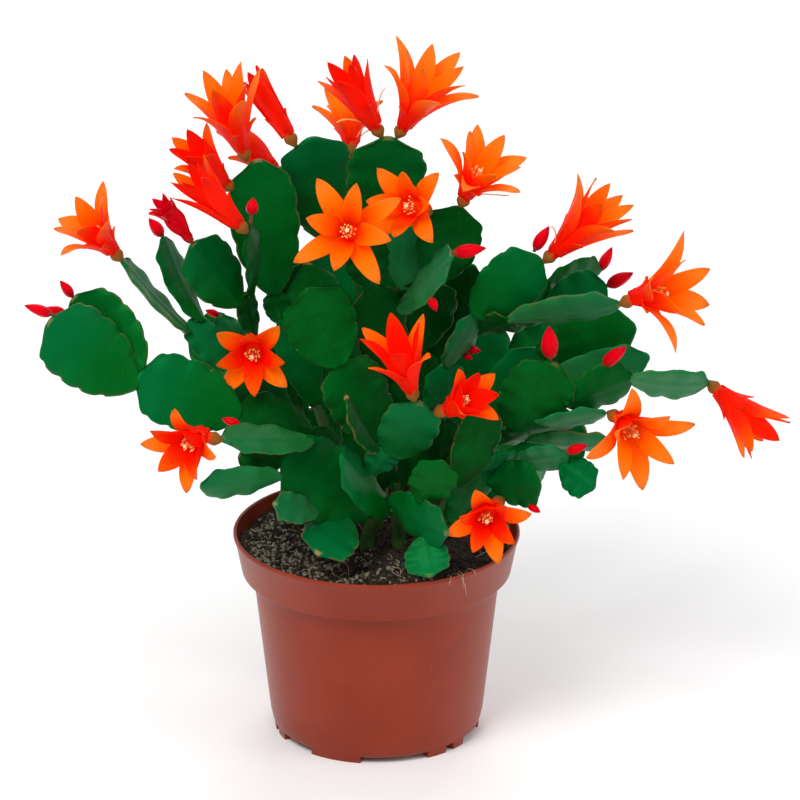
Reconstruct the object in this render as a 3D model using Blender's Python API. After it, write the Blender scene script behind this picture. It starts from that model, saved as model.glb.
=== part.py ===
# A potted easter cactus in flower: a plastic nursery pot, its soil, sixteen leafy stems that root
# in the soil, and a bloom or a bud on the end of many of their pads.
# The part stands on the pot's underside: origin on the axis at the bottom, +Z up, metres.

import math
import random

import bpy
from mathutils import Matrix, Vector

MM = 0.001
UP = Vector((0, 0, 1))

# Pot, in millimetres
POT_HEIGHT = 88.0
RIM_RADIUS = 60.0
COLLAR_FOOT_RADIUS = 56.5
COLLAR_HEIGHT = 17.5
BODY_TOP_RADIUS = 52.0
BASE_RADIUS = 44.0
BASE_EDGE_ROUND = 3.0
WALL = 1.3
FLOOR = 1.6
FOOT_HEIGHT = 2.0
FOOT_DEPTH = 4.0
BOSS_RADIUS = 9.0
DRAIN_RADIUS = 4.0
DRAIN_CIRCLE = 31.0
DRAIN_COUNT = 6
POT_SIDES = 28
# The feet are arcs under the edge of the base: one long and two short, three times round.
# Each is its first and last angle in degrees, from the front towards the right.
FEET = ((-40, -8), (31, 43), (47, 58))
FEET_REPEATS = 3

# Soil, in millimetres
CLEARANCE = 0.3
SOIL_TOP = 83.0
SOIL_BUMP = 1.3
SOIL_SIDES = 24
SOIL_RINGS = (49.0, 40.0, 30.0, 19.0)

# Stems, in millimetres
FOOT_DEEP = 15.0
FOOT_RADIUS = 3.0
STEM_RADIUS = 2.4
STEM_SIDES = 6

# Pads: sizes in millimetres, and shares of a pad's length or width
RIM_THICK = 1.0
NECK_THICK = 2.4
NECK_HALF = 2.6
WIDEST = 0.58
TIP_REACH = 0.44
TIP_SHARE = 0.35
RIB_POINTS = (0.22, 0.55, 0.86)
BROAD = 25.5
LOBES_BROAD = 4
LOBES_SMALL = 3
NOTCH = 0.09
SINK = 1.5

# Blooms and buds, in millimetres
TUBE_LENGTH = 11.0
PETAL_THICK = 0.8
PETAL_WIDTH = 7.4
PETAL_CLEAR = 1.2
MOUTH_RADIUS = 4.0
FIRST_ROW = 0.4
FIRST_LEAN = 0.7
INNER_SPREAD = 0.58
SEAT_GAP = 0.7

# The plant was laid out as seen from the front and from this far above the level.
LOOK_DOWN = math.radians(21.3)
DEPTH_SPREAD = 1.45

# The leafy stems. Each has the place of its woody foot in the soil (x, y), then the bend where the
# foot ends and the first pad starts, then its pads: name, the pad that carries it, how far round
# that pad's end it sits (0 the tip, 1 the widest place on its right hand, -1 on its left, 2 near
# its neck), its own tip, its width, and its turn in degrees about its length from lying flat to
# the viewer. Bends and tips are (right of the axis, up from the rim, nearer than the axis), all in
# millimetres as seen from the front.
STEMS = {
    "stem_left_arm": ((-14, -2), (-13, 12, 2), (
        ("arm_1", None, 0, (-27, 42, 6), 20, 30),
        ("arm_2", "arm_1", 0, (-57, 49, 12), 22, 20),
        ("arm_3", "arm_2", -0.1, (-98, 63, 14), 29, 8),
        ("arm_4", "arm_3", -0.3, (-133, 86, 18), 31, 5),
        ("arm_5", "arm_3", 0.35, (-124, 96, 4), 26, -15),
    )),
    "stem_front_left": ((-4, -10), (0, 8, 13), (
        ("front_1", None, 0, (-38, 30, 28), 32, 10),
        ("front_2", "front_1", 0.6, (-62, 38, 38), 18, 50),
        ("front_3", "front_1", 0, (-56, 31, 24), 15, 30),
        ("front_4", "front_1", -0.4, (-71, 19, 38), 18, -50),
        ("front_5", "front_1", -1.1, (-41, 12, 42), 12, 10),
        ("front_6", "front_1", -1.6, (-24, -9, 34), 22, 15),
    )),
    "stem_centre": ((9, -8), (7, 8, 18), (
        ("centre_1", None, 0, (-14, 31, 38), 21, 50),
        ("centre_2", "centre_1", 1.3, (6, 34, 24), 13, 30),
        ("centre_3", "centre_2", 0.5, (18, 53, 34), 23, 12),
        ("centre_4", "centre_2", -0.6, (-12, 55, 30), 20, 75),
        ("centre_5", "centre_1", 2, (29, 0, 41), 19, 35),
        ("centre_6", "centre_5", -1, (27, 29, 38), 18, 10),
        ("centre_7", "centre_5", 0.9, (22, -18, 40), 18, 5),
    )),
    "stem_middle": ((-3, 4), (-1, 12, 0), (
        ("middle_1", None, 0, (3, 38, 8), 18, 40),
        ("middle_2", "middle_1", 0, (-15, 70, 12), 27, 15),
        ("middle_3", "middle_2", -0.1, (-28, 99, 14), 29, 5),
    )),
    "stem_tall_left": ((-12, 10), (-25, 52, -8), (
        ("tall_1", None, 0, (-40, 87, -10), 16, 20),
        ("tall_2", "tall_1", 0, (-43, 99, -14), 10, 0),
        ("tall_3", "tall_2", 0, (-49, 153, -18), 28, 8),
        ("tall_4", "tall_1", 0.9, (-29, 111, -22), 27, 10),
    )),
    "stem_upper_left": ((-21, 19), (-33, 50, -16), (
        ("upper_1", None, 0, (-51, 80, -14), 20, 15),
        ("upper_2", "upper_1", -0.1, (-54, 98, -4), 9, 20),
        ("upper_3", "upper_2", -0.6, (-75, 118, 2), 23, 15),
        ("upper_4", "upper_2", 0.4, (-52, 124, 8), 18, 75),
        ("upper_5", "upper_1", -0.9, (-66, 89, -26), 12, 20),
    )),
    "stem_far_left": ((-24, 8), (-35, 44, -2), (
        ("far_1", None, 0, (-62, 67, 0), 21, 20),
        ("far_2", "far_1", 0, (-77, 87, -3), 13, 15),
        ("far_3", "far_2", -0.5, (-104, 111, 2), 20, 75),
        ("far_4", "far_2", 0.5, (-88, 121, -10), 20, 62),
    )),
    "stem_top": ((0, 18), (-3, 20, -20), (
        ("top_1", None, 0, (-4, 55, -26), 22, 10),
        ("top_2", "top_1", 0, (-8, 88, -28), 24, 15),
        ("top_3", "top_2", -0.5, (-18, 122, -36), 23, 10),
        ("top_4", "top_3", -0.1, (-27, 162, -22), 31, 5),
        ("top_5", "top_2", 0.5, (3, 127, -22), 23, -10),
        ("top_6", "top_5", 0, (5, 162, -16), 32, 3),
    )),
    "stem_upper_right": ((10, 10), (8, 16, -6), (
        ("right_1", None, 0, (10, 47, -6), 20, 25),
        ("right_2", "right_1", 0, (18, 76, -5), 22, 15),
        ("right_3", "right_2", 0, (22, 104, -1), 25, 10),
        ("right_8", "right_2", -1.1, (-2, 102, 3), 22, 15),
        ("right_4", "right_3", 0.2, (34, 133, -2), 25, 10),
        ("right_5", "right_8", 0.8, (31, 113, 21), 19, -55),
        ("right_6", "right_2", 1.0, (40, 110, -14), 18, 20),
        ("right_7", "right_3", -0.6, (12, 128, -10), 17, 10),
        ("right_9", "right_8", -0.1, (-4, 119, 9), 18, 10),
    )),
    "stem_right": ((20, 5), (22, 20, 0), (
        ("reach_1", None, 0, (27, 47, 2), 20, 30),
        ("reach_2", "reach_1", 0, (28, 69, 5), 19, 30),
        ("reach_3", "reach_2", 0.1, (41, 90, 7), 20, 60),
        ("reach_4", "reach_3", -0.2, (67, 112, 5), 24, 15),
        ("reach_5", "reach_3", 0.5, (72, 101, -9), 23, 20),
        ("reach_6", "reach_3", 0.9, (55, 87, 10), 15, 50),
        ("reach_7", "reach_6", 0, (99, 93, 17), 22, 62),
        ("reach_8", "reach_5", 0.6, (95, 101, -10), 22, 20),
        ("reach_9", "reach_5", -0.2, (93, 108, -24), 16, 40),
    )),
    "stem_far_right": ((24, -5), (31, 14, 4), (
        ("far_right_1", None, 0, (45, 38, 8), 21, 30),
        ("far_right_2", "far_right_1", 0.3, (63, 42, 16), 15, 60),
        ("far_right_3", "far_right_2", -0.6, (73, 69, 24), 28, 10),
        ("far_right_4", "far_right_2", 0.1, (93, 49, 25), 20, 70),
        ("far_right_5", "far_right_2", 0.8, (98, 36, 18), 20, 70),
        ("far_right_6", "far_right_3", 0.9, (105, 64, 17), 21, 40),
        ("far_right_7", "far_right_1", -0.5, (67, 75, 0), 21, 20),
        ("far_right_8", "far_right_7", 0, (107, 84, -2), 22, 15),
        ("far_right_9", "far_right_7", 0.8, (112, 72, 8), 17, 20),
        ("far_right_10", "far_right_6", 0, (136, 61, 12), 21, 58),
    )),
    "stem_low_right": ((17, -17), (31, 3, 22), (
        ("low_1", None, 0, (43, 26, 24), 18, 40),
        ("low_2", "low_1", -0.2, (59, 29, 21), 16, 60),
        ("low_3", "low_1", 0.6, (67, 19, 32), 19, 15),
        ("low_4", "low_2", 0, (78, 32, 27), 16, 50),
        ("low_5", "low_4", 0.6, (89, 18, 31), 15, 10),
        ("low_6", "low_1", -0.8, (45, 52, 26), 19, 25),
        ("low_7", "low_1", 1.8, (54, -3, 20), 17, 60),
    )),
    "stem_back_left": ((-14, 30), (-18, 24, -34), (
        ("back_left_1", None, 0, (-29, 50, -42), 22, 15),
        ("back_left_2", "back_left_1", -0.3, (-54, 70, -50), 26, 20),
        ("back_left_3", "back_left_2", 0, (-80, 84, -58), 26, -20),
        ("back_left_4", "back_left_1", 0.5, (-26, 84, -48), 25, 10),
        ("back_left_5", "back_left_4", 0, (-32, 117, -48), 26, 20),
        ("back_left_6", "back_left_1", -0.9, (-60, 48, -62), 24, 35),
    )),
    "stem_back": ((2, 32), (3, 26, -42), (
        ("back_1", None, 0, (3, 54, -52), 22, 10),
        ("back_2", "back_1", -0.6, (-14, 82, -66), 26, 20),
        ("back_3", "back_1", 0.6, (22, 80, -62), 25, -15),
        ("back_4", "back_3", 0, (26, 112, -66), 24, 10),
        ("back_5", "back_1", -0.9, (-26, 40, -80), 24, 40),
        ("back_6", "back_1", 0.9, (24, 36, -84), 24, -40),
    )),
    "stem_back_right": ((16, 26), (19, 24, -30), (
        ("back_right_1", None, 0, (32, 50, -34), 22, -10),
        ("back_right_2", "back_right_1", 0.6, (57, 67, -44), 26, -20),
        ("back_right_3", "back_right_2", 0, (82, 84, -52), 25, 15),
        ("back_right_4", "back_right_1", -0.3, (49, 90, -42), 27, 10),
        ("back_right_5", "back_right_4", 0.3, (59, 110, -52), 21, -10),
    )),
    "stem_side_right": ((28, 16), (37, 12, -16), (
        ("side_1", None, 0, (58, 32, -20), 22, 20),
        ("side_2", "side_1", 0, (88, 42, -24), 25, -15),
        ("side_3", "side_1", -0.8, (78, 66, -20), 22, 20),
        ("side_4", "side_1", 0.8, (70, 20, -42), 20, 40),
    )),
}

# The blooms: the pad that carries each, how far round its end, the way its tube points, the way
# its mouth faces, how far its outer petals spread from that in degrees, their length, and how many
# petals each of its two layers has. Ways are (right, up, near) as seen from the front.
BLOOMS = {
    "bloom_01": ("far_3", 0, (-14, 15, 4), (-13, 14, 7), 44, 22, 4),
    "bloom_02": ("upper_4", -0.3, (-22, 21, 5), (-22, 21, 5), 18, 26, 4),
    "bloom_03": ("tall_3", -0.35, (-9, 26, 3), (-9, 26, 5), 34, 29, 5),
    "bloom_04": ("tall_3", -0.65, (-19, 17, 12), (-17, 18, 12), 22, 22, 4),
    "bloom_05": ("top_4", -0.8, (-12, 10, -10), (-12, 10, -10), 18, 16, 3),
    "bloom_06": ("top_4", -0.4, (-18, 28, -8), (-18, 28, -8), 8, 24, 3),
    "bloom_07": ("top_4", 0.75, (1, 14, -10), (-2, 18, -12), 42, 19, 4),
    "bloom_08": ("top_6", -0.2, (-15, 25, 4), (-15, 25, 4), 20, 26, 4),
    "bloom_09": ("top_6", 0.25, (13, 22, 6), (12, 22, 7), 40, 32, 5),
    "bloom_10": ("right_9", 0, (-10, 4, 10), (-2, 1, 20), 74, 23, 4),
    "bloom_11": ("right_4", -0.6, (-10, 2, 12), (-10, 2, 18), 64, 19, 4),
    "bloom_12": ("right_4", 0.05, (10, 20, 8), (11, 18, 11), 48, 24, 5),
    "bloom_13": ("reach_4", 0.2, (26, 24, 3), (26, 24, 4), 30, 31, 5),
    "bloom_14": ("reach_7", 0, (24, 8, 8), (22, 2, 13), 52, 28, 4),
    "bloom_15": ("far_right_10", 0, (14, -13, 8), (20, -19, 5), 30, 26, 4),
    "bloom_16": ("far_right_4", 0.3, (9, -6, 12), (5, -7, 14), 56, 26, 4),
    "bloom_17": ("far_1", 0.6, (3, 5, 11), (-1, -6, 16), 56, 20, 4),
    "bloom_18": ("front_2", 0, (-20, 1, 8), (-9, -7, 14), 52, 20, 4),
    "bloom_19": ("low_3", 1.5, (-9, -7, 11), (0, -8, 16), 55, 19, 4),
    "bloom_20": ("centre_3", -0.25, (-7, 22, 6), (-7, 22, 8), 38, 26, 4),
    "bloom_21": ("centre_3", 0.5, (15, 6, 8), (12, 7, 12), 32, 18, 4),
}

# The buds: the pad that carries each, how far round its end, the way it points, its length and
# its width.
BUDS = {
    "bud_01": ("arm_5", 0, (-6, 8, 2), 9, 4.5),
    "bud_02": ("arm_5", -0.45, (-10, 3, 3), 9, 4.5),
    "bud_03": ("arm_4", 0.2, (-12, 4, 2), 12, 5.0),
    "bud_04": ("upper_3", 0, (-15, 20, 3), 25, 8.0),
    "bud_05": ("far_4", 0, (-6, 8, 2), 10, 5.5),
    "bud_06": ("upper_4", 0.4, (1, 10, -2), 10, 5.5),
    "bud_07": ("upper_5", 0, (-5, 2, 0), 6, 3.5),
    "bud_08": ("upper_5", -1.0, (-5, -2, 2), 6, 3.5),
    "bud_09": ("front_2", 0.8, (-11, 4, -2), 8, 4.0),
    "bud_10": ("right_5", 0, (14, 2, 3), 14, 6.0),
    "bud_11": ("right_5", 1.0, (3, -7, 3), 6, 4.0),
    "bud_12": ("reach_3", 1.4, (8, -1, 5), 6, 3.6),
    "bud_13": ("reach_3", 1.55, (7, -3, 6), 5, 3.0),
    "bud_14": ("reach_4", -0.35, (6, 10, 1), 12, 5.5),
    "bud_15": ("reach_9", 0, (5, 10, -2), 11, 5.0),
    "bud_16": ("reach_8", 0, (10, 5, 3), 13, 6.0),
    "bud_17": ("far_right_3", -0.2, (-1, 15, 2), 15, 7.5),
    "bud_18": ("far_right_6", -0.9, (10, 8, 5), 14, 6.0),
    "bud_19": ("low_4", -0.2, (10, 3, 2), 9, 4.5),
    "bud_20": ("low_3", 0.8, (5, -3, 4), 6, 3.5),
}


def way(right, up, near):
    """A direction seen from the front as a world vector."""
    rise = (up + near * math.sin(LOOK_DOWN)) / math.cos(LOOK_DOWN)
    return Vector((right, -near, rise))


def place(right, up, near):
    """A point seen from the front as a world point, in millimetres."""
    return way(right, up, near * DEPTH_SPREAD) + UP * POT_HEIGHT


def finish(name, colour, roughness):
    material = bpy.data.materials.new(name)
    material.use_nodes = True
    shader = material.node_tree.nodes["Principled BSDF"]
    shader.inputs["Base Color"].default_value = (*colour, 1.0)
    shader.inputs["Roughness"].default_value = roughness
    shader.inputs["Metallic"].default_value = 0.0
    return material


def add_object(name, mesh, material):
    mesh.materials.append(material)
    shape = bpy.data.objects.new(name, mesh)
    bpy.context.scene.collection.objects.link(shape)
    return shape


def solid(name, points, faces, material):
    """An object from points in millimetres."""
    mesh = bpy.data.meshes.new(name)
    mesh.from_pydata([tuple(MM * c for c in p) for p in points], [], faces)
    return add_object(name, mesh, material)


def combine(shape, others, operation):
    """One Boolean of shape with all the others, which are then removed."""
    group = bpy.data.collections.new(shape.name + "_group")
    bpy.context.scene.collection.children.link(group)
    for other in others:
        bpy.context.scene.collection.objects.unlink(other)
        group.objects.link(other)
    modifier = shape.modifiers.new("combine", "BOOLEAN")
    modifier.operand_type = "COLLECTION"
    modifier.collection = group
    modifier.operation = operation
    modifier.solver = "EXACT"
    graph = bpy.context.evaluated_depsgraph_get()
    mesh = bpy.data.meshes.new_from_object(shape.evaluated_get(graph))
    shape.modifiers.clear()
    shape.data = mesh
    for other in others:
        bpy.data.objects.remove(other)
    bpy.data.collections.remove(group)


def loft(rings):
    """Points and faces of a closed solid through rings of equal count."""
    count = len(rings[0])
    points = [p for ring_points in rings for p in ring_points]
    faces = [tuple(reversed(range(count)))]
    for level in range(len(rings) - 1):
        start = level * count
        for i in range(count):
            j = (i + 1) % count
            faces.append((start + i, start + j, start + count + j, start + count + i))
    last = (len(rings) - 1) * count
    faces.append(tuple(last + i for i in range(count)))
    return points, faces


def across(direction):
    """Two unit vectors square to a direction and to each other."""
    hint = Vector((1, 0, 0)) if abs(direction.x) < 0.9 else UP
    side = (hint - direction * hint.dot(direction)).normalized()
    return side, direction.cross(side)


def ring(centre, direction, radius, sides):
    side, up = across(direction)
    turns = [math.tau * i / sides for i in range(sides)]
    return [centre + radius * (math.cos(t) * side + math.sin(t) * up) for t in turns]


def turned(name, profile, sides, material):
    """A solid of revolution round Z from (radius, height) points, bottom centre to top centre."""
    points = [Vector((0, 0, profile[0][1]))]
    for radius, height in profile[1:-1]:
        for i in range(sides):
            t = math.tau * i / sides
            points.append(Vector((radius * math.cos(t), radius * math.sin(t), height)))
    points.append(Vector((0, 0, profile[-1][1])))
    top = len(points) - 1
    last = top - sides
    faces = []
    for i in range(sides):
        j = (i + 1) % sides
        faces.append((0, 1 + j, 1 + i))
        faces.append((last + i, last + j, top))
        for level in range(len(profile) - 3):
            low = 1 + level * sides
            high = low + sides
            faces.append((low + i, low + j, high + j, high + i))
    return solid(name, points, faces, material)


def foot_arc(first, last, material):
    """One foot under the edge of the pot's base."""
    outer = BASE_RADIUS - 0.6
    inner = outer - FOOT_DEPTH
    steps = max(1, round((last - first) / 12))
    top = FOOT_HEIGHT + 1
    rings = []
    for i in range(steps + 1):
        t = math.radians(first + (last - first) * i / steps - 90)
        ahead = Vector((math.cos(t), math.sin(t), 0))
        corners = ((inner, top), (outer, top), (outer - 0.5, 0), (inner, 0))
        rings.append([ahead * radius + UP * height for radius, height in corners])
    return solid("foot", *loft(rings), material)


def make_pot(material):
    floor_top = FOOT_HEIGHT + FLOOR
    shoulder = POT_HEIGHT - COLLAR_HEIGHT
    profile = (
        (0, 0),
        (BOSS_RADIUS, 0),
        (BOSS_RADIUS + 0.8, FOOT_HEIGHT),
        (BASE_RADIUS - BASE_EDGE_ROUND, FOOT_HEIGHT),
        (BASE_RADIUS - 0.3 * BASE_EDGE_ROUND, FOOT_HEIGHT + 0.3 * BASE_EDGE_ROUND),
        (BASE_RADIUS + 0.1, FOOT_HEIGHT + BASE_EDGE_ROUND),
        (BODY_TOP_RADIUS, shoulder - 0.4),
        (COLLAR_FOOT_RADIUS - 0.3, shoulder),
        (RIM_RADIUS - 0.4, POT_HEIGHT - 1.8),
        (RIM_RADIUS, POT_HEIGHT - 1.0),
        (RIM_RADIUS - 0.4, POT_HEIGHT),
        (RIM_RADIUS - WALL, POT_HEIGHT),
        (COLLAR_FOOT_RADIUS - WALL, shoulder + WALL + 0.6),
        (BODY_TOP_RADIUS - WALL, shoulder + WALL),
        (BASE_RADIUS - WALL, floor_top + BASE_EDGE_ROUND - 1.0),
        (BASE_RADIUS - WALL - 1.6, floor_top),
        (0, floor_top),
    )
    pot = turned("pot", profile, POT_SIDES, material)
    feet = []
    for repeat in range(FEET_REPEATS):
        shift = 360 / FEET_REPEATS * repeat
        feet += [foot_arc(first + shift, last + shift, material) for first, last in FEET]
    combine(pot, feet, "UNION")
    drains = []
    for i in range(DRAIN_COUNT):
        t = math.tau * (i + 0.5) / DRAIN_COUNT
        low = Vector((math.cos(t), math.sin(t), 0)) * DRAIN_CIRCLE
        rings = [ring(low + UP * height, UP, DRAIN_RADIUS, 8) for height in (0, floor_top + 2)]
        drains.append(solid("drain", *loft(rings), material))
    combine(pot, drains, "DIFFERENCE")
    return pot


def soil_height(x, y):
    """The uneven top of the soil: a few waves of unlike length and direction."""
    waves = math.sin(0.21 * x + 0.9) * math.cos(0.17 * y) + 0.6 * math.sin(0.31 * y - 0.24 * x)
    return SOIL_TOP + SOIL_BUMP * waves


def make_soil(material):
    """Soil that fills the pot to just below its rim, with a plain hole for each stem's foot."""
    floor_top = FOOT_HEIGHT + FLOOR + CLEARANCE
    shoulder = POT_HEIGHT - COLLAR_HEIGHT + WALL + CLEARANCE
    slope = (RIM_RADIUS - COLLAR_FOOT_RADIUS) / COLLAR_HEIGHT
    edge = COLLAR_FOOT_RADIUS - WALL - 2 * CLEARANCE + slope * (SOIL_TOP - shoulder)
    profile = [(0, floor_top)]
    profile.append((BASE_RADIUS - WALL - 2.0 - CLEARANCE, floor_top))
    profile.append((BASE_RADIUS - WALL - CLEARANCE - 0.1, floor_top + BASE_EDGE_ROUND))
    profile.append((BODY_TOP_RADIUS - WALL - CLEARANCE - 0.1, shoulder))
    profile.append((COLLAR_FOOT_RADIUS - WALL - CLEARANCE - 0.3, shoulder + 0.7))
    profile.append((edge, SOIL_TOP - 1.0))
    profile += [(radius, SOIL_TOP) for radius in SOIL_RINGS]
    profile.append((0, SOIL_TOP))
    soil = turned("soil", profile, SOIL_SIDES, material)
    for vertex in soil.data.vertices:
        if vertex.co.z > (SOIL_TOP - 0.5) * MM:
            vertex.co.z = soil_height(vertex.co.x / MM, vertex.co.y / MM) * MM
    bottom = SOIL_TOP - FOOT_DEEP - CLEARANCE
    radius = FOOT_RADIUS + CLEARANCE / math.cos(math.pi / STEM_SIDES)
    holes = []
    for foot, _, _ in STEMS.values():
        rings = [ring(Vector((*foot, z)), UP, radius, STEM_SIDES) for z in (bottom, SOIL_TOP + 6)]
        holes.append(solid("hole", *loft(rings), material))
    combine(soil, holes, "DIFFERENCE")
    return soil


class Pad:
    """One flat pad of a stem: its length from base to tip, its width and the way it faces."""

    def __init__(self, name, base, tip, width, turn):
        chance = random.Random(name)
        self.base = base
        self.along = (tip - base).normalized()
        self.length = (tip - base).length
        self.half = width / 2
        to_viewer = Vector((0, -math.cos(LOOK_DOWN), math.sin(LOOK_DOWN)))
        facing = (to_viewer - self.along * to_viewer.dot(self.along)).normalized()
        facing.rotate(Matrix.Rotation(math.radians(turn), 3, self.along))
        self.normal = facing
        self.side = self.along.cross(facing).normalized()
        self.bow = chance.uniform(-0.05, 0.05) * self.length
        self.cup = chance.uniform(-0.06, 0.06) * width
        self.spans = 2 * (LOBES_BROAD if width > BROAD else LOBES_SMALL)
        self.widths = [self.smooth_half(k / self.spans) for k in range(self.spans + 1)]
        for k in range(2, self.spans, 2):
            self.widths[k] -= NOTCH * self.half

    def smooth_half(self, s):
        """Half the width, notches apart: a slim neck, widest past the middle, a blunt tip."""
        if s < WIDEST:
            share = (1 - ((WIDEST - s) / WIDEST) ** 2) ** 0.75
        else:
            share = (1 - ((s - WIDEST) / TIP_REACH) ** 2.4) ** 0.5
        return max(min(NECK_HALF, 0.64 * self.half), self.half * share)

    def edge_half(self, s):
        """Half the width of the notched outline."""
        k = min(int(s * self.spans), self.spans - 1)
        share = s * self.spans - k
        return (1 - share) * self.widths[k] + share * self.widths[k + 1]

    def point(self, s, t, height=0.0):
        """A point of the pad: a share s along it, t to its side, height off its middle."""
        off = self.bow * 4 * s * (1 - s) + self.cup * (t / self.half) ** 2 + height
        return self.base + self.along * (s * self.length) + self.side * t + self.normal * off

    def edge(self, at, outward):
        """A point on the edge round the pad's end, moved outward by some millimetres."""
        if abs(at) < TIP_SHARE:
            s = 1.0
            t = self.edge_half(1.0) * at / TIP_SHARE
        else:
            s = max(0.05, 1 - (abs(at) - TIP_SHARE) * (1 - WIDEST) / (1 - TIP_SHARE))
            t = math.copysign(self.edge_half(s), at)
        out = Vector(((s - 0.5) * self.length, t)).normalized() * outward
        return self.point(s + out.x / self.length, t + out.y)


def pad_shape(name, pad, material):
    """The pad as a solid: a thin lens with a scalloped edge."""
    spans = range(pad.spans + 1)
    left = [(k / pad.spans, -pad.widths[k]) for k in spans]
    right = [(k / pad.spans, pad.widths[k]) for k in reversed(spans)]
    loop = left + right
    count = len(loop)
    ribs = len(RIB_POINTS)
    body = 0.8 + 0.05 * pad.half
    points = []
    for hand in (1, -1):
        for s, t in loop:
            points.append(pad.point(s, t, hand * (NECK_THICK if s == 0 else RIM_THICK) / 2))
    points += [pad.point(s, 0, hand * body) for hand in (1, -1) for s in RIB_POINTS]
    nearest = [min(range(ribs), key=lambda n: abs(RIB_POINTS[n] - s)) for s, _ in loop]
    faces = []
    for i in range(count):
        j = (i + 1) % count
        faces.append((i, j, count + j, count + i))
        for shift, rib, order in ((0, 2 * count, 1), (count, 2 * count + ribs, -1)):
            faces.append((shift + j, shift + i, rib + nearest[i])[::order])
            if nearest[i] != nearest[j]:
                faces.append((shift + j, rib + nearest[i], rib + nearest[j])[::order])
    return solid(name, points, faces, material)


def lay_out_pads():
    """Every pad of every stem, each stood on the edge of the pad that carries it."""
    pads = {}
    for _, bend, rows in STEMS.values():
        for name, carrier, at, tip, width, turn in rows:
            base = pads[carrier].edge(at, -SINK) if carrier else place(*bend)
            pads[name] = Pad(name, base, place(*tip), width, turn)
    return pads


def foot_shape(name, foot, bend, first_way, material):
    """The woody foot of a stem: straight up out of its hole, then bent to its first pad."""
    low = Vector((*foot, SOIL_TOP - FOOT_DEEP))
    top = Vector((*foot, SOIL_TOP + 3.0))
    reach = bend - top
    middle = top + Vector((reach.x * 0.35, reach.y * 0.35, reach.z * 0.6))
    end = bend + first_way * 3.0
    rings = [ring(low, UP, FOOT_RADIUS * 0.7, STEM_SIDES)]
    rings.append(ring(top, UP, FOOT_RADIUS, STEM_SIDES))
    rings.append(ring(middle, reach.normalized(), STEM_RADIUS, STEM_SIDES))
    rings.append(ring(end, first_way, STEM_RADIUS * 0.8, STEM_SIDES))
    return solid(name, *loft(rings), material)


def make_stem(name, pads, material):
    """A leafy stem: its woody foot and its pads, each sunk into the one that carries it."""
    foot, bend, rows = STEMS[name]
    stem = foot_shape(name, foot, place(*bend), pads[rows[0][0]].along, material)
    combine(stem, [pad_shape(row[0], pads[row[0]], material) for row in rows], "UNION")
    return stem


def facing_frame(centre, direction, roll):
    side, up = across(direction)
    turn = Matrix((side, up, direction)).transposed().to_4x4()
    return Matrix.Translation(centre) @ turn @ Matrix.Rotation(roll, 4, "Z")


def petal_room(spread, length, number):
    """The widest that petals can be before the two layers cross."""
    out = [MOUTH_RADIUS + FIRST_ROW * length * math.sin(math.radians(s) * FIRST_LEAN)
           for s in (spread, spread * INNER_SPREAD)]
    turn = math.pi / number
    return 2 * (out[0] - PETAL_CLEAR - out[1] * math.cos(turn)) / math.sin(turn)


def petal_rows(angle, spread, root, length, width):
    """The four-cornered sections of a petal past its root, and its tip, round an axis on +Z."""
    outward = Vector((math.cos(angle), math.sin(angle), 0))
    half = Vector((-math.sin(angle), math.cos(angle), 0)) * width / 2
    lean = math.radians(spread) * FIRST_LEAN
    step = math.radians(spread) * 0.25
    spot = root
    rows = []
    for share, wide in ((FIRST_ROW, 1.0), (0.35, 0.72), (0.25, 0)):
        ahead = outward * math.sin(lean) + UP * math.cos(lean)
        above = (UP * math.sin(lean) - outward * math.cos(lean)) * PETAL_THICK / 2
        spot = spot + ahead * length * share
        edge = half * wide
        rows.append([spot - edge - above, spot + edge - above, spot + edge + above,
                     spot - edge + above] if wide else [spot])
        lean += step
    return rows


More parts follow.
